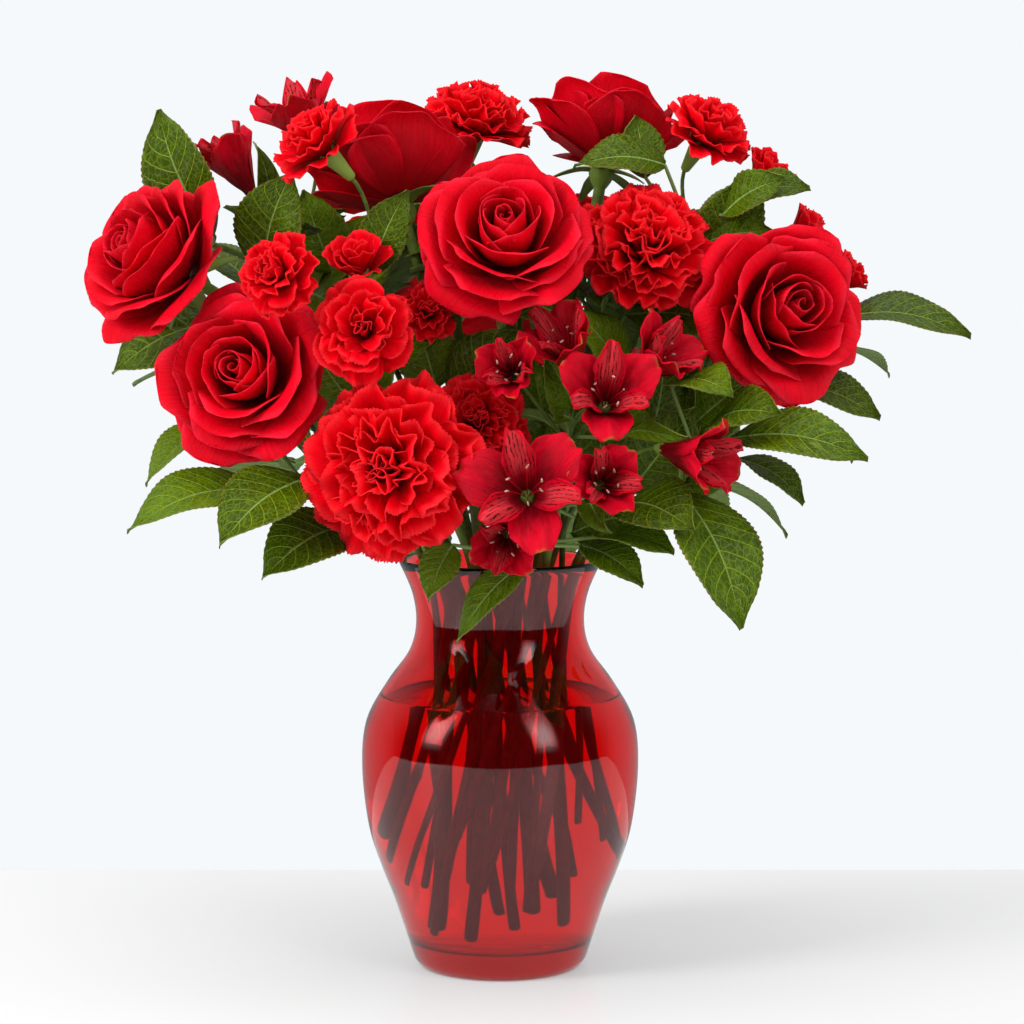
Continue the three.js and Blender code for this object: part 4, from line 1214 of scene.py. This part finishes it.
def stamens(name, flower):
    """Six thin filaments that arch up from the middle of an alstroemeria, and their anthers."""
    rng = draws(name, "stamens")
    filaments, anthers = Skin(), Skin()
    matrix = placing(**flower)
    size = flower["size"]
    spread = 0.4 + 0.5 * flower["open"]
    for i in range(STAMEN_COUNT):
        azimuth = 15 + 360 * i / STAMEN_COUNT + rng.uniform(-12, 12)
        reach = rng.uniform(19, 25) * size
        share = np.linspace(0, 1, 10)[:, None]
        path = np.hstack([(0.6 + 8.5 * share**1.6) * spread, 0 * share, 2 + share * reach])
        path = turned_by(path, azimuth)
        filaments.tube(path, FILAMENT_RADIUS, 6, FILAMENT_TINT)
        tip = path[-1]
        lie = unit(vector((rng.uniform(-1, 1), rng.uniform(-1, 1), 0.6)))
        steps = np.linspace(-1, 1, 7)[:, None]
        radii = ANTHER_RADIUS * np.sqrt(1.02 - steps[:, 0] ** 2)
        anthers.tube(tip + lie * steps * ANTHER_LENGTH / 2, radii, 8, PLAIN_TINT)
    return filaments.move(matrix), anthers.move(matrix)


# ------------------------------------------------------------------------ stems


def slot_point(slot, z):
    """Where the stem of a slot stands at height z, on its straight run from foot to neck."""
    ring = STEM_RINGS[slot[0]]
    azimuth = ring["first"] + 360 * slot[1] / ring["count"]
    top = direction((azimuth, 0)) * ring["radius"] + (0, 0, NECK_Z)
    bottom = direction((azimuth - SPIRAL_TWIST, 0)) * ring["foot_radius"] + (0, 0, ring["foot_z"])
    return bottom + (top - bottom) * (z - ring["foot_z"]) / (NECK_Z - ring["foot_z"])


def foot_of(slot):
    """The height of a stem's cut foot. Neighbours are cut at different lengths."""
    return STEM_RINGS[slot[0]]["foot_z"] + slot[1] * 5 % FOOT_LENGTHS * FOOT_STEP


def smooth(start, out, end, into, reach, count):
    """Points of a curve that leaves start along out and turns into the direction of end late."""
    far = np.linalg.norm(end - start)
    corners = [start, start + out * far * reach, end - into * far * STEM_END_REACH, end]
    t = np.linspace(0, 1, count)[:, None]
    weights = [(1 - t) ** 3, 3 * t * (1 - t) ** 2, 3 * t**2 * (1 - t), t**3]
    return sum(w * c for w, c in zip(weights, corners))


def stem_path(slot, end, into, reach=0.4):
    """The whole stem: straight from its foot to the neck, then bent to its end."""
    neck = slot_point(slot, NECK_Z)
    out = unit(neck - slot_point(slot, 0))
    below = np.linspace(slot_point(slot, foot_of(slot)), neck, STEM_STEPS["below"])
    return below, smooth(neck, out, end, into, reach, STEM_STEPS["above"])


def stem_tube(skin, name, below, above, radius, knots=0):
    """A stem with a slightly uneven thickness, and swollen rings at its knots if it has them."""
    rng = draws(name, "stem")
    path = np.concatenate([below, above[1:]])
    fine = np.linspace(0, len(path) - 1, len(path) * 3)
    path = np.stack([np.interp(fine, np.arange(len(path)), path[:, i]) for i in range(3)], axis=1)
    length = np.concatenate([[0], np.cumsum(np.linalg.norm(np.diff(path, axis=0), axis=1))])
    uneven = 1 + 0.05 * np.sin(length / 17 + rng.uniform(0, 6)) + 0.04 * np.sin(length / 7)
    for knot in range(knots):
        place = length[-1] * (0.12 + 0.8 * (knot + 0.5) / knots)
        uneven += KNOT_SWELL * np.exp(-(((length - place) / KNOT_REACH) ** 2))
    skin.tube(path, radius * uneven, STEM_SIDES, SKIN_TINTS["stem"], slant=CUT_SLANT)
    return path


def thorns(skin, name, path, size):
    """Thorns that point out and a little down, round the part of a rose stem above the neck."""
    rng = draws(name, "thorns")
    open_part = path[path[:, 2] > NECK_Z + 10]
    for i in range(THORN_COUNT):
        at = open_part[int(len(open_part) * (THORN_FIRST + THORN_APART * i))]
        out = unit(vector((*rng.normal(size=2), -0.25)))
        share = np.linspace(0, 1, 6)[:, None]
        line = at + out * (2 + size * share) + vector((0, 0, -1.2)) * share**2
        radii = THORN_RADIUS * (1 - share[:, 0]) + 0.06
        skin.tube(line, radii, 7, SKIN_TINTS["thorn"])


def sepals(skin, matrix, size, rng, count, length, width, base, foot, lean):
    """Pointed green leaves round the base of a flower."""
    since = len(skin.points)
    for i in range(count):
        points = petal(
            rng, *SEPAL_DETAIL, length=length * size * rng.uniform(0.85, 1.1), base=base * size,
            foot=foot * size, lean=tuple(angle + rng.uniform(-10, 10) for angle in lean),
            width=width * size, fall=0.55, rounding=1.4, claw=0.9, fold=-0.9, ruffle=0.3, tip=0.25,
        )
        azimuth = 36 + 360 * i / count + rng.uniform(-8, 8)
        skin.sheet(turned_by(points, azimuth), SEPAL_THICKNESS, SKIN_TINTS["calyx"])
    skin.move(matrix, since)


def rose_stem(name, rose, thorn):
    """A rose's stem with its thorns, the hip under its head and the sepals round that."""
    skin = Skin()
    size = rose["size"]
    into = direction(rose["face"])
    matrix = placing(**rose)
    end = vector(rose["at"]) - into * HIP_DEPTH * size
    path = stem_tube(skin, name, *stem_path(rose["slot"], end, into), STEM_RADIUS["rose"])
    thorns(skin, name, path, thorn)
    since = len(skin.points)
    skin.lathe(np.array(ROSE_HIP) * size, TURNED_SIDES["hip"], SKIN_TINTS["hip"])
    skin.move(matrix, since)
    sepals(skin, matrix, size, draws(name, "sepals"), **ROSE_SEPALS)
    return skin


def calyx(skin, flower, scale, rng, bud=False):
    """The green tube that holds a carnation's petals, with five teeth at its top."""
    since = len(skin.points)
    profile = CALYX_OUTSIDE + (CALYX_CLOSED if bud else CALYX_HOLLOW)

    def toothed(turn, height):
        lobes = np.abs(np.cos(2.5 * turn))
        return 1 + 0.05 * lobes * smoothstep(-14, 2, height)

    skin.lathe(np.array(profile) * scale, TURNED_SIDES["calyx"], SKIN_TINTS["calyx"], toothed)
    matrix = placing(flower["at"], flower["face"])
    skin.move(matrix, since)
    if not bud:
        sepals(skin, matrix, scale, rng, **CALYX_TEETH)


def bud_petals(skin, name, bud, scale):
    """The rolled red tips that push out of a bud."""
    rng = draws(name, "bud", *bud["at"])
    rows, columns, teeth = BUD_DETAIL
    since = len(skin.points)
    for layer, (count, shape) in enumerate(BUD_LAYERS):
        for i in range(count):
            each = scaled(varied(rng, shape, 0.12), scale)
            each["lean"] = tuple(angle * bud["flare"] for angle in each["lean"])
            points = petal(
                rng, rows, columns, **each, fall=0.2, claw=0.5, skew=1.2 * scale,
                ruffle=1.8 * scale, waves=1.6, teeth=teeth, tooth=1.3 * scale,
            )
            azimuth = 40 * layer + 360 * i / count + rng.uniform(-12, 12)
            skin.sheet(turned_by(points, azimuth), BUD_PETAL_THICKNESS, rng.random())
    skin.move(placing(bud["at"], bud["face"]), since)


def bud_tips(name, plant):
    """The tips of all the buds on a stem."""
    skin = Skin()
    for bud in plant["buds"]:
        bud_petals(skin, name, bud, bud["size"] * SPRAY_CALYX_SCALE)
    return skin


def carnation_stem(name, carnation):
    """A carnation's stem with its knots, the calyx and the small bracts below that."""
    skin = Skin()
    size = carnation["size"]
    into = direction(carnation["face"])
    end = vector(carnation["at"]) - into * CALYX_LENGTH * size
    below, above = stem_path(carnation["slot"], end, into)
    stem_tube(skin, name, below, above, STEM_RADIUS["carnation"], CARNATION_KNOTS)
    rng = draws(name, "calyx")
    calyx(skin, carnation, size, rng)
    down = Matrix.Translation(Vector(into) * -CALYX_LENGTH * size)
    bracts = down @ placing(carnation["at"], carnation["face"])
    sepals(skin, bracts, size, rng, **CALYX_BRACTS)
    return skin


def twig(skin, fork, end, into, rise, reach):
    """A thin shoot from the fork of a stem to the foot of a flower."""
    out = unit(end - fork)
    level = out * (1, 1, 0)
    start = fork + level * 0.9 - (0, 0, 2)
    path = smooth(start, unit(out + (0, 0, rise)), end, into, reach, 14)
    skin.tube(path, TWIG_RADIUS, 8, SKIN_TINTS["twig"])


def side_shoot(skin, fork, flower, rng, bud=False):
    """A shoot of a spray carnation, with the calyx of its flower or bud."""
    scale = flower["size"] * SPRAY_CALYX_SCALE
    into = direction(flower["face"])
    end = vector(flower["at"]) - into * CALYX_LENGTH * scale
    twig(skin, fork, end, into, rise=0.6, reach=0.4)
    calyx(skin, flower, scale, rng, bud)


def forked_stem(skin, name, plant, radius):
    """The stem of a spray or an umbel up to its fork, whose place is given back."""
    split = vector(plant["fork"])
    up = unit(split - slot_point(plant["slot"], NECK_Z))
    stem_tube(skin, name, *stem_path(plant["slot"], split, up, reach=0.35), radius)
    return split


def spray_stem(name, spray):
    """A forked stem with a shoot for each flower and bud."""
    skin = Skin()
    rng = draws(name, "shoots")
    split = forked_stem(skin, name, spray, STEM_RADIUS["spray"])
    for bloom in spray["blooms"].values():
        side_shoot(skin, split, bloom, rng)
    for bud in spray["buds"]:
        side_shoot(skin, split, bud, rng, bud=True)
    return skin


def ribbed(turn, _):
    """Six ribs round an ovary, at every height."""
    return 1 + 0.09 * np.cos(6 * turn)


def umbel_stem(name, umbel):
    """A forked stem with a shoot for each flower, and the ribbed ovary under the flower."""
    skin = Skin()
    rng = draws(name, "shoots")
    split = forked_stem(skin, name, umbel, STEM_RADIUS["alstroemeria"])
    for bloom in umbel["blooms"].values():
        into = direction(bloom["face"])
        twig(skin, split, vector(bloom["at"]) - into * 0.3, into, rise=0.0, reach=0.3)
        since = len(skin.points)
        ovary = np.array(OVARY) * bloom["size"]
        skin.lathe(ovary, TURNED_SIDES["ovary"], SKIN_TINTS["calyx"], ribbed)
        skin.move(placing(**bloom), since)
    for bud in umbel["buds"]:
        side_shoot(skin, split, bud, rng, bud=True)
    return skin


# ------------------------------------------------------------------------ leaves


def facing(v):
    """The (azimuth, elevation) of a unit vector."""
    return math.degrees(math.atan2(v[0], -v[1])), math.degrees(math.asin(max(-1, min(1, v[2]))))


def leaf_points(
    rng, start, end, face, width=None, rows=None, columns=LEAF_COLUMNS, teeth=True, slim=1.0, twist=0
):
    """A leaf from its stalk's end to its point: folded a little along the rib, bowed and waved.

    Its rim has a tooth every three rows. slim moves its widest place to the tip, and twist turns
    it round its rib by that many degrees from end to end."""
    start, end = vector(start), vector(end)
    along = end - start
    length = np.linalg.norm(along)
    wide = width or LEAF_WIDTH_SHARE * length
    rows = rows or int(length * LEAF_ROWS_PER_MM)
    side = unit(np.cross(direction(face), along))
    up = unit(np.cross(along, side))
    t = np.linspace(0, 1, rows)[:, None]
    u = np.linspace(1, -1, columns)[None, :]
    turn = np.radians(twist) * t[..., None]
    side, up = side * np.cos(turn) + up * np.sin(turn), up * np.cos(turn) - side * np.sin(turn)
    outline = np.sin(math.pi * t ** (0.84 * slim)) ** 0.86 * (1 - 0.35 * smoothstep(0.82, 1.0, t))
    sawtooth = (np.arange(rows)[:, None] % 3 - 1) * 0.42 * smoothstep(0.05, 0.2, t) if teeth else 0
    half = np.maximum(0.5 * wide * outline + sawtooth * outline, 0.35)
    wave = np.clip(5 * (t - 0.5), -1.5, 1.5) * rng.uniform(0.7, 1.2)
    ripple = 0.6 * np.sin(t * rng.uniform(9, 13) + rng.uniform(0, 6)) * np.abs(u) ** 2
    bow = 0.12 * length * np.sin(math.pi * t)
    groove = -0.5 * np.exp(-((u * half / 0.9) ** 2))
    ladder = np.cos(2 * math.pi * (SIDE_VEINS * t - VEIN_SLANT * np.abs(u)))
    veins = 0.22 * ladder * np.abs(u) * (1 - np.abs(u)) * 2
    lift = bow + np.abs(u) * (0.16 * half + wave * u) + ripple + groove + veins
    return start + along * t[..., None] + side * (u * half)[..., None] + up * lift[..., None]


def leaf(skin, rng, root, thickness, tint=None, **shape):
    """A leaf and its stalk, which runs on under the blade as the midrib. A low tint is dark."""
    points = leaf_points(rng, **shape)
    chance = rng.random()
    tint = chance if tint is None else tint
    skin.sheet(points, thickness, tint)
    rib = points[:, points.shape[1] // 2]
    stalk = np.linspace(root, rib[0], LEAF_STALK_STEPS, endpoint=False)
    under = rib[: int(len(rib) * MIDRIB_SHARE)]
    stalk_radii = np.full(LEAF_STALK_STEPS, LEAF_STALK_RADIUS)
    radii = np.concatenate([stalk_radii, np.linspace(*MIDRIB_RADII, len(under))])
    since = len(skin.places)
    skin.tube(np.concatenate([stalk, under]), radii, 7, tint)
    for places, sides in zip(skin.places[since:], skin.sides[since:]):
        places[:, 1] = 0
        sides[:] = 0


def nearest(path, base):
    """The place on a stem that a leaf grows from: near, and below it."""
    cost = np.linalg.norm(path - base, axis=1) + 0.6 * np.maximum(0, path[:, 2] - base[2] + 6)
    return path[int(np.argmin(cost))]


def closest_stem(stems, place):
    """The name of the stem that passes nearest to a place."""
    return min(stems, key=lambda name: np.linalg.norm(stems[name] - place, axis=1).min())


def lining_leaves(stems):
    """The inner leaves, each with the salal stem that it grows from and its root there."""
    rng = draws("lining")
    made = []
    centre, reach = vector(LINING["centre"]), vector(LINING["reach"])
    for i in range(LINING["count"]):
        height = 1 - 2 * (i + 0.5) / LINING["count"]
        azimuth = math.degrees(GOLDEN_ANGLE * i)
        normal = direction((azimuth, math.degrees(math.asin(height))))
        middle = centre + reach * normal * rng.uniform(0.86, 1.04)
        name = closest_stem(stems, middle)
        root = nearest(stems[name], middle - (0, 0, 18))
        away = middle - root + vector((0, 0, 14)) + rng.normal(size=3) * 8
        away = unit(away - normal * away.dot(normal) * 0.8)
        length = LINING["length"] * rng.uniform(0.85, 1.15)
        start = middle - away * length / 2
        if middle[2] - length / 3 > LINING["lowest"]:
            upper = unit(normal + rng.normal(size=3) * 0.25)
            width = LINING["width"] * rng.uniform(0.85, 1.15)
            shape = dict(start=start, end=start + away * length, face=facing(upper), width=width)
            made.append((name, root, dict(shape, **LINING_DETAIL)))
    for shape in INNER_LEAVES:
        start = vector(shape["start"])
        name = closest_stem(stems, start)
        made.append((name, nearest(stems[name], start), shape))
    return made


def whorl_leaves(rng, fork):
    """Narrow leaves in a ring round the fork of an alstroemeria's stem."""
    made = []
    for i in range(WHORL["count"]):
        azimuth = 360 * i / WHORL["count"]
        out = direction((azimuth + rng.uniform(-20, 20), rng.uniform(*WHORL["rise"])))
        length = rng.uniform(*WHORL["length"])
        start = fork + out * WHORL["reach"]
        shape = dict(start=start, end=start + out * length, face=(azimuth, 70))
        made.append(dict(shape, width=WHORL["width"]))
    return made


def salal_path(salal):
    """The straight lower part of a salal stem, and the part above the neck."""
    tip = vector(salal["tip"])
    level = unit((tip - slot_point(salal["slot"], NECK_Z)) * (1, 1, 0))
    return stem_path(salal["slot"], tip, unit(level + (0, 0, 0.25)), SALAL_REACH)


# ------------------------------------------------------------------------ vase and water


def rounded(points, steps=6):
    """A smooth line through the points (Catmull-Rom), with steps pieces between two of them."""
    points = np.array([points[0], *points, points[-1]], float)
    t = np.linspace(0, 1, steps, endpoint=False)[:, None]
    made = []
    for a, b, c, d in zip(points, points[1:], points[2:], points[3:]):
        squared = (2 * a - 5 * b + 4 * c - d) * t**2
        cubed = (3 * b - a - 3 * c + d) * t**3
        made.append(0.5 * (2 * b + (c - a) * t + squared + cubed))
    return np.concatenate([*made, points[-1:]])


def vase_inside():
    """The inner wall from just above the floor up to the rim."""
    return [(radius - VASE_WALL, height) for radius, height in rounded(VASE_OUTSIDE[1:])]


def vase_profile():
    """Outside from the foot to the lip, over it, and down the inside to the heavy bottom."""
    wall = rounded(VASE_OUTSIDE)[:-1]
    inner = vase_inside()[-2::-1]
    return [*VASE_FOOT, *wall, *VASE_LIP, *inner, *VASE_FLOOR]


def water_profile():
    """The water meets the glass and climbs it a little at its surface."""
    radii, heights = np.array(vase_inside()).T
    wet = heights < WATER_LEVEL - 2
    last = np.array([WATER_LEVEL - 2, WATER_LEVEL, WATER_LEVEL + WATER_CLIMB])
    edge = np.interp(last, heights, radii)
    wall = [*zip(radii[wet], heights[wet]), *zip(edge, last)]
    side = [(radius + WATER_OVERLAP, height) for radius, height in wall]
    top = [(edge[2] - 0.8, WATER_LEVEL + 0.4), (edge[2] - 2.6, WATER_LEVEL), (0.8, WATER_LEVEL)]
    return [*WATER_FLOOR, *side, *top]


# ------------------------------------------------------------------------ operators


class BOUQUET_OT_roses(bpy.types.Operator):
    """Make the roses: heads of rolled petals, and stems with hips, sepals and thorns"""

    bl_idname = "bouquet.roses"
    bl_label = "Roses"

    def execute(self, context):
        colours, sizes = context.scene.bouquet_colours, context.scene.bouquet_sizes
        velvet, skin = rose_finish(colours), stem_finish(colours)
        for name, rose in ROSES.items():
            head = rose_head(name, rose, sizes.petal / MM)
            piece(f"{name}_head", head, velvet, "rose_petal", f"{name}_petals")
            stalk = rose_stem(name, rose, sizes.thorn / MM)
            piece(f"{name}_stalk", stalk, skin, "stem", f"{name}_stem")
        return {"FINISHED"}


class BOUQUET_OT_carnations(bpy.types.Operator):
    """Make the large carnations: heads of ruffled petals, calyces and stems"""

    bl_idname = "bouquet.carnations"
    bl_label = "Carnations"

    def execute(self, context):
        colours, sizes = context.scene.bouquet_colours, context.scene.bouquet_sizes
        crepe, skin = carnation_finish(colours), stem_finish(colours)
        for name, flower in CARNATIONS.items():
            size = flower["size"]
            head = ruffled_head(
                name, flower, CARNATION_LAYERS, sizes.petal / MM, sizes.ruffle / MM * size,
                sizes.tooth / MM * size, CARNATION_DETAIL,
            )
            piece(f"{name}_head", head, crepe, "carnation_petal", f"{name}_petals")
            piece(f"{name}_stalk", carnation_stem(name, flower), skin, "stem", f"{name}_stem")
        return {"FINISHED"}


class BOUQUET_OT_sprays(bpy.types.Operator):
    """Make the spray carnations: small heads and red-tipped buds on forked stems"""

    bl_idname = "bouquet.sprays"
    bl_label = "Spray carnations"

    def execute(self, context):
        colours, sizes = context.scene.bouquet_colours, context.scene.bouquet_sizes
        crepe, skin = carnation_finish(colours), stem_finish(colours)
        for name, spray in SPRAYS.items():
            for which, flower in spray["blooms"].items():
                head = ruffled_head(
                    f"{name}_{which}", flower, SPRAY_LAYERS, sizes.petal / MM * SPRAY_PETAL_SCALE,
                    sizes.ruffle / MM * SPRAY_RUFFLE_SCALE, sizes.tooth / MM * SPRAY_TOOTH_SCALE,
                    SPRAY_DETAIL,
                )
                node = f"{name}_bloom_{which}"
                piece(f"{node}_head", head, crepe, "carnation_petal", node)
            piece(f"{name}_stalk", spray_stem(name, spray), skin, "stem", f"{name}_stem")
            tips = bud_tips(name, spray)
            piece(f"{name}_bud_tips", tips, crepe, "carnation_petal", f"{name}_stem")
        return {"FINISHED"}


class BOUQUET_OT_alstroemerias(bpy.types.Operator):
    """Make the alstroemerias: six-petalled flowers with stamens, their leaves and forked stems"""

    bl_idname = "bouquet.alstroemerias"
    bl_label = "Alstroemerias"

    def execute(self, context):
        colours, sizes = context.scene.bouquet_colours, context.scene.bouquet_sizes
        satin, skin, pollen = alstroemeria_finish(colours), stem_finish(colours), anther_finish()
        green = leaf_finish(colours)
        for name, umbel in UMBELS.items():
            for which, flower in umbel["blooms"].items():
                node = f"{name}_bloom_{which}"
                head = alstroemeria_head(f"{name}_{which}", flower, sizes.petal / MM)
                piece(f"{node}_head", head, satin, "alstroemeria_petal", node)
                filaments, anthers = stamens(f"{name}_{which}", flower)
                piece(f"{node}_filaments", filaments, satin, "alstroemeria_petal", node)
                piece(f"{node}_anthers", anthers, pollen, "alstroemeria_petal", node)
            piece(f"{name}_stalk", umbel_stem(name, umbel), skin, "stem", f"{name}_stem")
            leaves = Skin()
            rng = draws(name, "leaves")
            fork = vector(umbel["fork"])
            for shape in [*umbel["leaves"], *whorl_leaves(rng, fork)]:
                leaf(leaves, rng, fork, sizes.leaf / MM, **shape, teeth=False, slim=0.9, twist=70)
            piece(f"{name}_leaves", leaves, green, "leaf", f"{name}_stem")
            if umbel["buds"]:
                tips = bud_tips(name, umbel)
                piece(f"{name}_bud_tips", tips, satin, "alstroemeria_petal", f"{name}_stem")
        return {"FINISHED"}


class BOUQUET_OT_salals(bpy.types.Operator):
    """Make the leafy salal stems: woody stems and leathery, finely toothed leaves"""

    bl_idname = "bouquet.salals"
    bl_label = "Salal leaves"

    def execute(self, context):
        colours, sizes = context.scene.bouquet_colours, context.scene.bouquet_sizes
        green, skin = leaf_finish(colours), stem_finish(colours)
        paths = {name: salal_path(salal) for name, salal in SALALS.items()}
        leafy = {name: above[SALAL_BARE_POINTS:] for name, (_, above) in paths.items()}
        inner = lining_leaves(leafy)
        for name, salal in SALALS.items():
            wood, leaves = Skin(), Skin()
            rng = draws(name)
            below, above = paths[name]
            stem_tube(wood, name, below, above, STEM_RADIUS["salal"])
            for shape in salal["leaves"]:
                root = nearest(leafy[name], vector(shape["start"]))
                leaf(leaves, rng, root, sizes.leaf / MM, **shape)
            for owner, root, shape in inner:
                if owner == name:
                    leaf(leaves, rng, root, sizes.leaf / MM, **shape)
            piece(f"{name}_wood", wood, skin, "leaf", name)
            piece(f"{name}_leaves", leaves, green, "leaf", name)
        return {"FINISHED"}


class BOUQUET_OT_vase(bpy.types.Operator):
    """Make the vase of red glass"""

    bl_idname = "bouquet.vase"
    bl_label = "Vase"

    def execute(self, context):
        skin = Skin()
        skin.lathe(vase_profile(), VASE_SIDES, PLAIN_TINT)
        piece("glass_vase", skin, glass_finish(context.scene.bouquet_colours), "vase", "vase")
        return {"FINISHED"}


class BOUQUET_OT_water(bpy.types.Operator):
    """Fill the vase with water"""

    bl_idname = "bouquet.water"
    bl_label = "Water"

    def execute(self, context):
        skin = Skin()
        skin.lathe(water_profile(), VASE_SIDES, PLAIN_TINT)
        piece("vase_water", skin, water_finish(), "water", "water")
        return {"FINISHED"}


class BOUQUET_OT_stage(bpy.types.Operator):
    """Make the pale table, the soft lights, the bright room and the camera"""

    bl_idname = "bouquet.stage"
    bl_label = "Stage"

    def execute(self, context):
        make_table(context.scene.bouquet_colours)
        make_room(context.scene)
        for light in LIGHTS:
            make_light(**light)
        make_camera(context.scene)
        return {"FINISHED"}


def make_table(colours):
    """A thin table top whose back edge is the line behind the vase."""
    width, depth, thick = TABLE_SIZE
    mesh = bpy.data.meshes.new("table")
    x = width / 2
    back, front = TABLE_BACK, TABLE_BACK - depth
    top = [(-x, front, 0), (x, front, 0), (x, back, 0), (-x, back, 0)]
    low = [(a, b, -thick) for a, b, _ in top]
    walls = [(i, (i + 1) % 4, (i + 1) % 4 + 4, i + 4) for i in range(4)]
    mesh.from_pydata(top + low, [], [(0, 1, 2, 3), (7, 6, 5, 4), *[w[::-1] for w in walls]])
    mesh.update()
    table = bpy.data.objects.new("table", mesh)
    mesh.materials.append(table_finish(colours))
    bpy.context.scene.collection.objects.link(table)


def soft_panel(where, azimuth):
    """1 in the middle of a tall lamp with soft edges that stands at that azimuth, and 0 round it."""
    x, y, z = where
    turn = math.radians(azimuth)
    beside = x * math.cos(turn) + y * math.sin(turn)
    before = x * math.sin(turn) - y * math.cos(turn)
    tall = z.between(0.1, 0.4) * (1 - z.between(0.55, 0.85))
    return (1 - beside.size().between(0.04, 0.22)) * before.between(0.0, 0.3) * tall


def make_room(scene):
    """A studio: the camera, and what is seen through the glass, show its pale wall. Reflections
    show that wall behind, a dark room in front with the two tall lamps in it, and soft light
    comes from all round."""
    world = bpy.data.worlds.new("room")
    scene.world = world
    tree = Tree(world)
    path = tree.add("ShaderNodeLightPath")
    rays = ("Is Camera Ray", "Is Glossy Ray", "Is Transmission Ray")
    camera, glossy, through = (Wire(tree, path.outputs[name]) for name in rays)
    outward = tree.out("ShaderNodeTexCoord", {}, {}, "Generated")
    split = tree.add("ShaderNodeSeparateXYZ", {}, {0: outward})
    where = [Wire(tree, split.outputs[axis]) for axis in "XYZ"]
    _, back, height = where
    ambient = tree.mix(height.between(-0.2, 1.0), AMBIENT_BELOW, AMBIENT_ABOVE)
    wall = shade(WALL, MIRRORED_WALL_SHARE)
    mirrored = tree.mix(back.between(-0.1, 0.5), MIRRORED_FRONT, wall)
    mirrored = tree.mix(height.between(0.8, 0.97), mirrored, MIRRORED_CEILING)
    for light in LIGHTS[:2]:
        mirrored = tree.mix(soft_panel(where, light["place"][0]), mirrored, MIRRORED_LAMP)
    colour = tree.mix(camera.most(through), tree.mix(glossy, ambient, mirrored), WALL)
    tree.feed(tree.nodes["Background"].inputs["Color"], colour)


def make_light(name, place, size, watts):
    """A softbox that looks at the bouquet, and that the camera and reflections don't see."""
    azimuth, elevation, distance = place
    lamp = bpy.data.lights.new(name, "AREA")
    lamp.shape = "RECTANGLE"
    lamp.size, lamp.size_y = size
    lamp.energy = watts
    light = bpy.data.objects.new(name, lamp)
    out = Vector(direction((azimuth, elevation)))
    light.location = Vector(LIGHT_TARGET) + out * distance
    light.rotation_euler = (-out).to_track_quat("-Z", "Y").to_euler()
    light.visible_camera = False
    light.visible_glossy = False
    bpy.context.scene.collection.objects.link(light)


def make_camera(scene):
    """The camera, which looks down a little, and plain colours in its picture."""
    camera = bpy.data.objects.new("camera", bpy.data.cameras.new("camera"))
    camera.data.lens = CAMERA_LENS
    camera.data.sensor_width = CAMERA_SENSOR
    camera.location = CAMERA_PLACE
    camera.rotation_euler = Euler((math.radians(90 - CAMERA_PITCH), 0, 0))
    scene.collection.objects.link(camera)
    scene.camera = camera
    scene.view_settings.view_transform = "Standard"


class BOUQUET_PT_panel(bpy.types.Panel):
    """The bouquet's pieces, sizes and colours"""

    bl_idname = "BOUQUET_PT_panel"
    bl_label = "Bouquet"
    bl_space_type = "VIEW_3D"
    bl_region_type = "UI"
    bl_category = "Bouquet"

    def draw(self, context):
        for operator in OPERATORS:
            self.layout.operator(operator.bl_idname)
        for group in (context.scene.bouquet_sizes, context.scene.bouquet_colours):
            box = self.layout.box()
            for name in group.__annotations__:
                box.prop(group, name)


OPERATORS = (
    BOUQUET_OT_roses,
    BOUQUET_OT_carnations,
    BOUQUET_OT_sprays,
    BOUQUET_OT_alstroemerias,
    BOUQUET_OT_salals,
    BOUQUET_OT_vase,
    BOUQUET_OT_water,
    BOUQUET_OT_stage,
)
CLASSES = (BouquetColours, BouquetSizes, *OPERATORS, BOUQUET_PT_panel)


def register():
    for each in CLASSES:
        bpy.utils.register_class(each)
    bpy.types.Scene.bouquet_colours = bpy.props.PointerProperty(type=BouquetColours)
    bpy.types.Scene.bouquet_sizes = bpy.props.PointerProperty(type=BouquetSizes)


def unregister():
    del bpy.types.Scene.bouquet_sizes
    del bpy.types.Scene.bouquet_colours
    for each in reversed(CLASSES):
        bpy.utils.unregister_class(each)


def main():
    register()
    bpy.ops.bouquet.roses()
    bpy.ops.bouquet.carnations()
    bpy.ops.bouquet.sprays()
    bpy.ops.bouquet.alstroemerias()
    bpy.ops.bouquet.salals()
    bpy.ops.bouquet.vase()
    bpy.ops.bouquet.water()
    bpy.ops.bouquet.stage()


if __name__ == "__main__":
    main()
